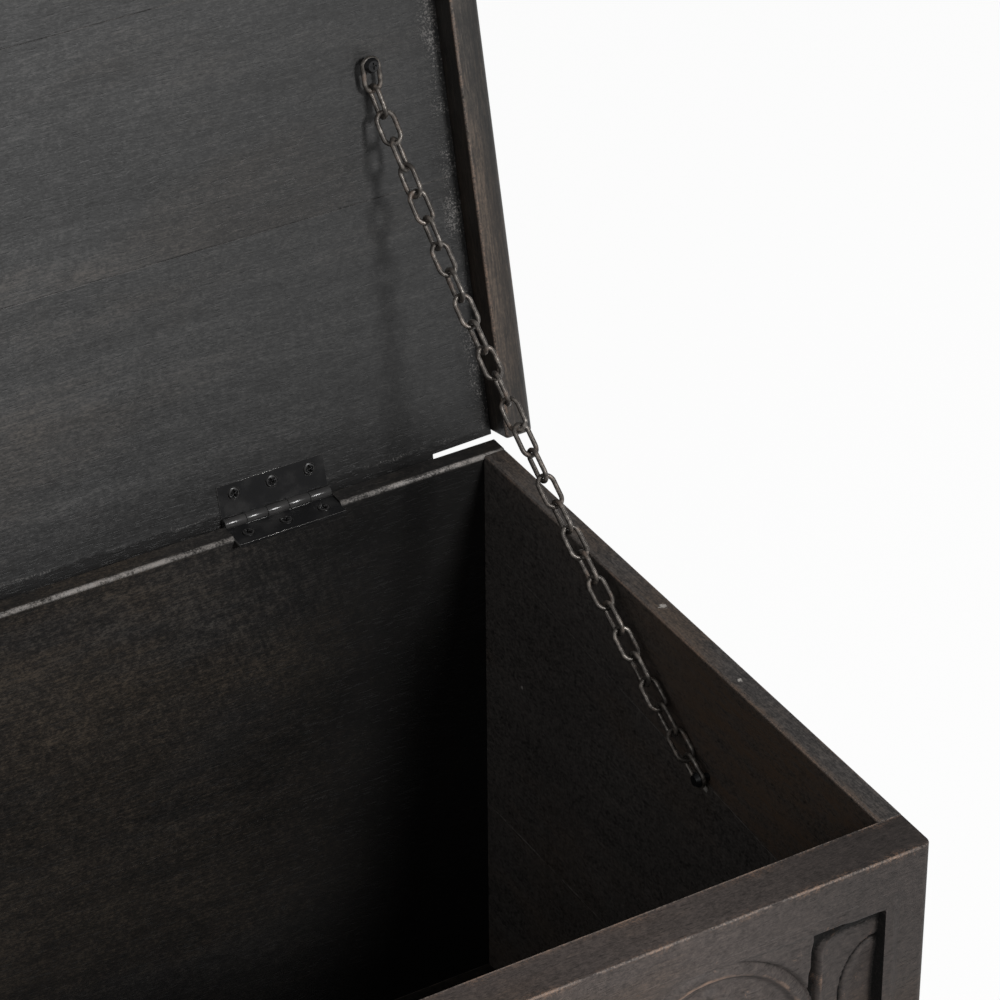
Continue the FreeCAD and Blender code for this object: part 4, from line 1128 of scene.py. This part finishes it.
def makeChain(side, tree, keys):
    c = chain
    start, end = jointAt(f"{side}_chain_upper_swing"), jointAt(f"{side}_chain_lower_swing")
    hook = (c["wire"] + c["play"]) * mm
    tail = (c["wire"] / 2 + c["shank"] + c["play"]) * mm
    end = end + (end - start).normalized() * tail
    count = round((end - start).length / (c["pitch"] * mm))
    along = (end - start).normalized()
    sag = (Vector((0, 0, -1)) + along * along.z).normalized() * c["sag"] * mm
    shared = {"Start": start, "Span": end - start, "Sag": sag, "Whole": count, "Hook": hook,
              "Pitch": (end - start).length / count, "Width": c["width"] * mm, "Wire": c["wire"] * mm,
              "Quarter turn": 0.0, "Half way twist": float(count % 2)}
    upper = count // 2 - c["bendBefore"]
    lower = upper + c["bendLinks"]
    runs = {"upper": (0, upper), "bend": (upper, lower - upper), "lower": (lower, count - lower)}
    for part, (first, links) in runs.items():
        name = f"{side}_chain_{part}"
        makeRun(name, name, tree, keys, {**shared, "First": first, "Count": links})
    up = openLid.to_3x3() @ Vector((0, -1, 0))
    makeRun(f"{side}_chain_lid_link", "lid", tree, keys, {
        **shared, "Start": start + up * hook, "Span": up * c["pitch"] * mm, "Sag": Vector((0, 0, 0)),
        "Whole": 1, "First": 0, "Count": 1, "Pitch": c["pitch"] * mm, "Quarter turn": 1.0,
        "Half way twist": 0.0})


linkTree, linkKeys = chainTree()
for side in ("right", "left"):
    makeChain(side, linkTree, linkKeys)
print("chains made")


# hinges: eased leaves, and screws with low domed heads and a cross recess

hinge = {"easing": 0.22, "wallTrim": 2.2, "edgeArea": 30, "edgeRubAndHighlight": 0.8, "knuckle": 3.5, "knuckleRubAndHighlight": 0.14}
screw = {
    "count": 3, "rise": 0.9, "crossHalf": 0.5, "crossReach": 2.3, "crossDepth": 1.0,
    "firstTurn": 0.3, "turn": 0.7, "segments": 64, "rings": 40,
}


def screwTree():
    tree, keys, sockets = newGeometryTree("screwHeads", [
        ("First", "NodeSocketVector", (0, 0, 0)), ("Step", "NodeSocketVector", (0, 0, 0)),
        ("Out", "NodeSocketVector", (0, 0, 1)), ("Radius", "NodeSocketFloat", 0.0036)])
    ball = tree.add("GeometryNodeMeshUVSphere", None, {
        "Segments": screw["segments"], "Rings": screw["rings"], "Radius": sockets["Radius"]})
    place = tree.add("GeometryNodeInputPosition")
    x, y, z = tree.split(place)
    u, v = abs(x) / mm, abs(y) / mm
    slot = u.smaller(v).fall(screw["crossHalf"] - 0.15, screw["crossHalf"] + 0.15)
    slot = slot * u.larger(v).fall(screw["crossReach"] - 0.2, screw["crossReach"] + 0.2)
    low = z / sockets["Radius"] * (screw["rise"] * mm)
    low = low - slot * z.rise(0, 0.0005) * (screw["crossDepth"] * mm)
    spread = (x * x + y * y).root() / sockets["Radius"]
    ball = storeNumbers(tree, ball, {"spread": spread, "cross": slot})
    head = tree.add("GeometryNodeSetPosition", None, {"Geometry": ball, "Position": tree.join(x, y, low)})
    head = tree.add("GeometryNodeSetShadeSmooth", None, {"Geometry": head, "Shade Smooth": True})
    number = tree.add("GeometryNodeInputIndex")
    spot = tree.vectors("ADD", sockets["First"], tree.scaled(sockets["Step"], number))
    turn = number * screw["turn"] + screw["firstTurn"]
    aim = tree.join(turn.cosine(), turn.sine(), turn.sine() * 0.3)
    placed = placeCopies(tree, head, screw["count"], spot, "ZX", sockets["Out"], aim)
    closeGeometryTree(tree, placed, headBlack)
    return tree, keys


def makeScrews(node, body, onLid, tree, keys):
    low, high = nodeBox(node, onLid)
    radius = (high.y - low.y) / 2
    level = low.z if onLid else high.z
    first = Vector((low.x + radius, (low.y + high.y) / 2, level))
    out = Vector((0, 0, -1 if onLid else 1))
    step = Vector(((high.x - low.x - 2 * radius) / (screw["count"] - 1), 0, 0))
    if onLid:
        first, out = openLid @ first, openLid.to_3x3() @ out
    mesh = growMesh(node + "_heads", bpy.data.meshes.new(node), tree, {
        keys["First"]: first, keys["Step"]: step, keys["Out"]: out, keys["Radius"]: radius})
    linkPiece(node + "_heads", mesh, body, headBlack, [node])


def makeLeaf(node, body, trim):
    # a hinge leaf with its edges eased, its front edge trimmed back; rubbed edges are bright, knuckles a
    # little, partly as a painted highlight
    build = bmesh.new()
    build.from_mesh(frame["nodes"][node].data)
    bmesh.ops.remove_doubles(build, verts=build.verts, dist=1e-6)
    bmesh.ops.dissolve_limit(build, angle_limit=radians(0.5), verts=build.verts, edges=build.edges)
    front = min(vertex.co.y for vertex in build.verts)
    for vertex in build.verts:
        vertex.co.y += trim * mm if vertex.co.y < front + 0.5 * mm else 0
    softenRest(build, hinge["easing"])
    mesh = bpy.data.meshes.new(node + "_eased")
    build.to_mesh(mesh)
    build.free()
    rubbed = mesh.attributes.new("rub", "FLOAT", "FACE")
    for face, value in zip(mesh.polygons, rubbed.data):
        face.use_smooth = face.area < hinge["edgeArea"] * mm * mm
        knuckle = (face.center.yz - hingeAxis.yz).length < hinge["knuckle"] * mm
        rub = hinge["knuckleRubAndHighlight" if knuckle else "edgeRubAndHighlight"]
        value.value = rub if face.use_smooth else 0.0
    linkPiece(node + "_eased", mesh, body, lacquer, [node])


headTree, headKeys = screwTree()
for side in ("right", "left"):
    makeLeaf(f"{side}_hinge_wall_leaf", "chest", hinge["wallTrim"])
    makeLeaf(f"{side}_hinge_lid_leaf", "lid", 0.0)
    makeScrews(f"{side}_hinge_wall_screws", "chest", False, headTree, headKeys)
    makeScrews(f"{side}_hinge_lid_screws", "lid", True, headTree, headKeys)
print("hinges made")

# the rest keeps its CAD shape
finishes = {"hinge": lacquer, "screw": screwBlack, "dowel": bareWood, "foot": plainWood}
for node, piece in frame["nodes"].items():
    for word, finish in finishes.items():
        if word in node:
            piece.data.materials.clear()
            piece.data.materials.append(finish)
            break


# studio

studio = {
    "floorTone": 0.9, "floorHalf": 14.0, "floorDrop": 0.0005, "glow": 0.94, "sky": 0.26, "aim": (0, 0, 0.4),
    "keyLamp": {"at": (1.1, -2.6, 2.4), "size": 0.7, "power": 115.0},
    "fillLamp": {"at": (-2.2, -1.8, 2.2), "size": 2.0, "power": 18.0},
}


def stageMaterial():
    # pale floor, shown nearly white to the camera but keeping the shadow
    material, tree = newMaterial("paleFloor")
    tone = (studio["floorTone"],) * 3 + (1,)
    matt = tree.add("ShaderNodeBsdfDiffuse", None, {"Color": tone})
    glow = tree.add("ShaderNodeEmission", None, {"Color": (1, 1, 1, 1), "Strength": 1.0})
    path = tree.nodeTree.nodes.new("ShaderNodeLightPath")
    seen = [Value(tree, path.outputs[name]) for name in
            ("Is Camera Ray", "Is Glossy Ray", "Is Transmission Ray")]
    shown = seen[0].larger(seen[1]).larger(seen[2]) * studio["glow"]
    surface = tree.add("ShaderNodeMixShader", None, {0: shown, 1: matt, 2: glow})
    tree.add("ShaderNodeOutputMaterial", None, {"Surface": surface})
    return material


def makeStage():
    mesh = bpy.data.meshes.new("floor")
    wide, level = studio["floorHalf"], -studio["floorDrop"]
    corners = [(-wide, -wide), (wide, -wide), (wide, wide), (-wide, wide)]
    mesh.from_pydata([(x, y, level) for x, y in corners], [], [(0, 1, 2, 3)])
    floor = bpy.data.objects.new("floor", mesh)
    bpy.context.scene.collection.objects.link(floor)
    mesh.materials.append(stageMaterial())


def softLamp(name):
    look = studio[name]
    lamp = bpy.data.lights.new(name, "AREA")
    lamp.shape = "DISK"
    lamp.size = look["size"]
    lamp.energy = look["power"]
    piece = bpy.data.objects.new(name, lamp)
    piece.location = look["at"]
    way = Vector(studio["aim"]) - Vector(look["at"])
    piece.rotation_euler = way.to_track_quat("-Z", "Y").to_euler()
    bpy.context.scene.collection.objects.link(piece)


def makeSky():
    world = bpy.data.worlds.new("studio")
    world.use_nodes = True
    bpy.context.scene.world = world
    world.node_tree.nodes.clear()
    tree = Tree(world.node_tree)
    path = tree.nodeTree.nodes.new("ShaderNodeLightPath")
    seen = Value(tree, path.outputs["Is Camera Ray"])
    strength = studio["sky"] + (1 - studio["sky"]) * seen
    back = tree.add("ShaderNodeBackground", None, {"Color": (1, 1, 1, 1), "Strength": strength})
    tree.add("ShaderNodeOutputWorld", None, {"Surface": back})


camera = {
    "place": (-0.5919, -1.5094, 1.6870), "lens": 157.51, "sensor": 36.0,
    "right": (0.8609, -0.5088, -0.0062), "down": (-0.2877, -0.4766, -0.8307),
    "ahead": (0.4197, 0.7169, -0.5567),
}


def makeCamera():
    view = bpy.data.cameras.new("camera")
    view.lens = camera["lens"]
    view.sensor_width = camera["sensor"]
    view.dof.use_dof = False
    piece = bpy.data.objects.new("camera", view)
    right, down, ahead = (Vector(camera[key]) for key in ("right", "down", "ahead"))
    turn = Matrix((right, -down, -ahead)).transposed().to_4x4()
    piece.matrix_world = Matrix.Translation(Vector(camera["place"])) @ turn
    bpy.context.scene.collection.objects.link(piece)
    bpy.context.scene.camera = piece


makeStage()
makeSky()
softLamp("keyLamp")
softLamp("fillLamp")
makeCamera()
bpy.context.scene.view_settings.view_transform = "Standard"
print("studio set")

bpy.context.view_layer.update()
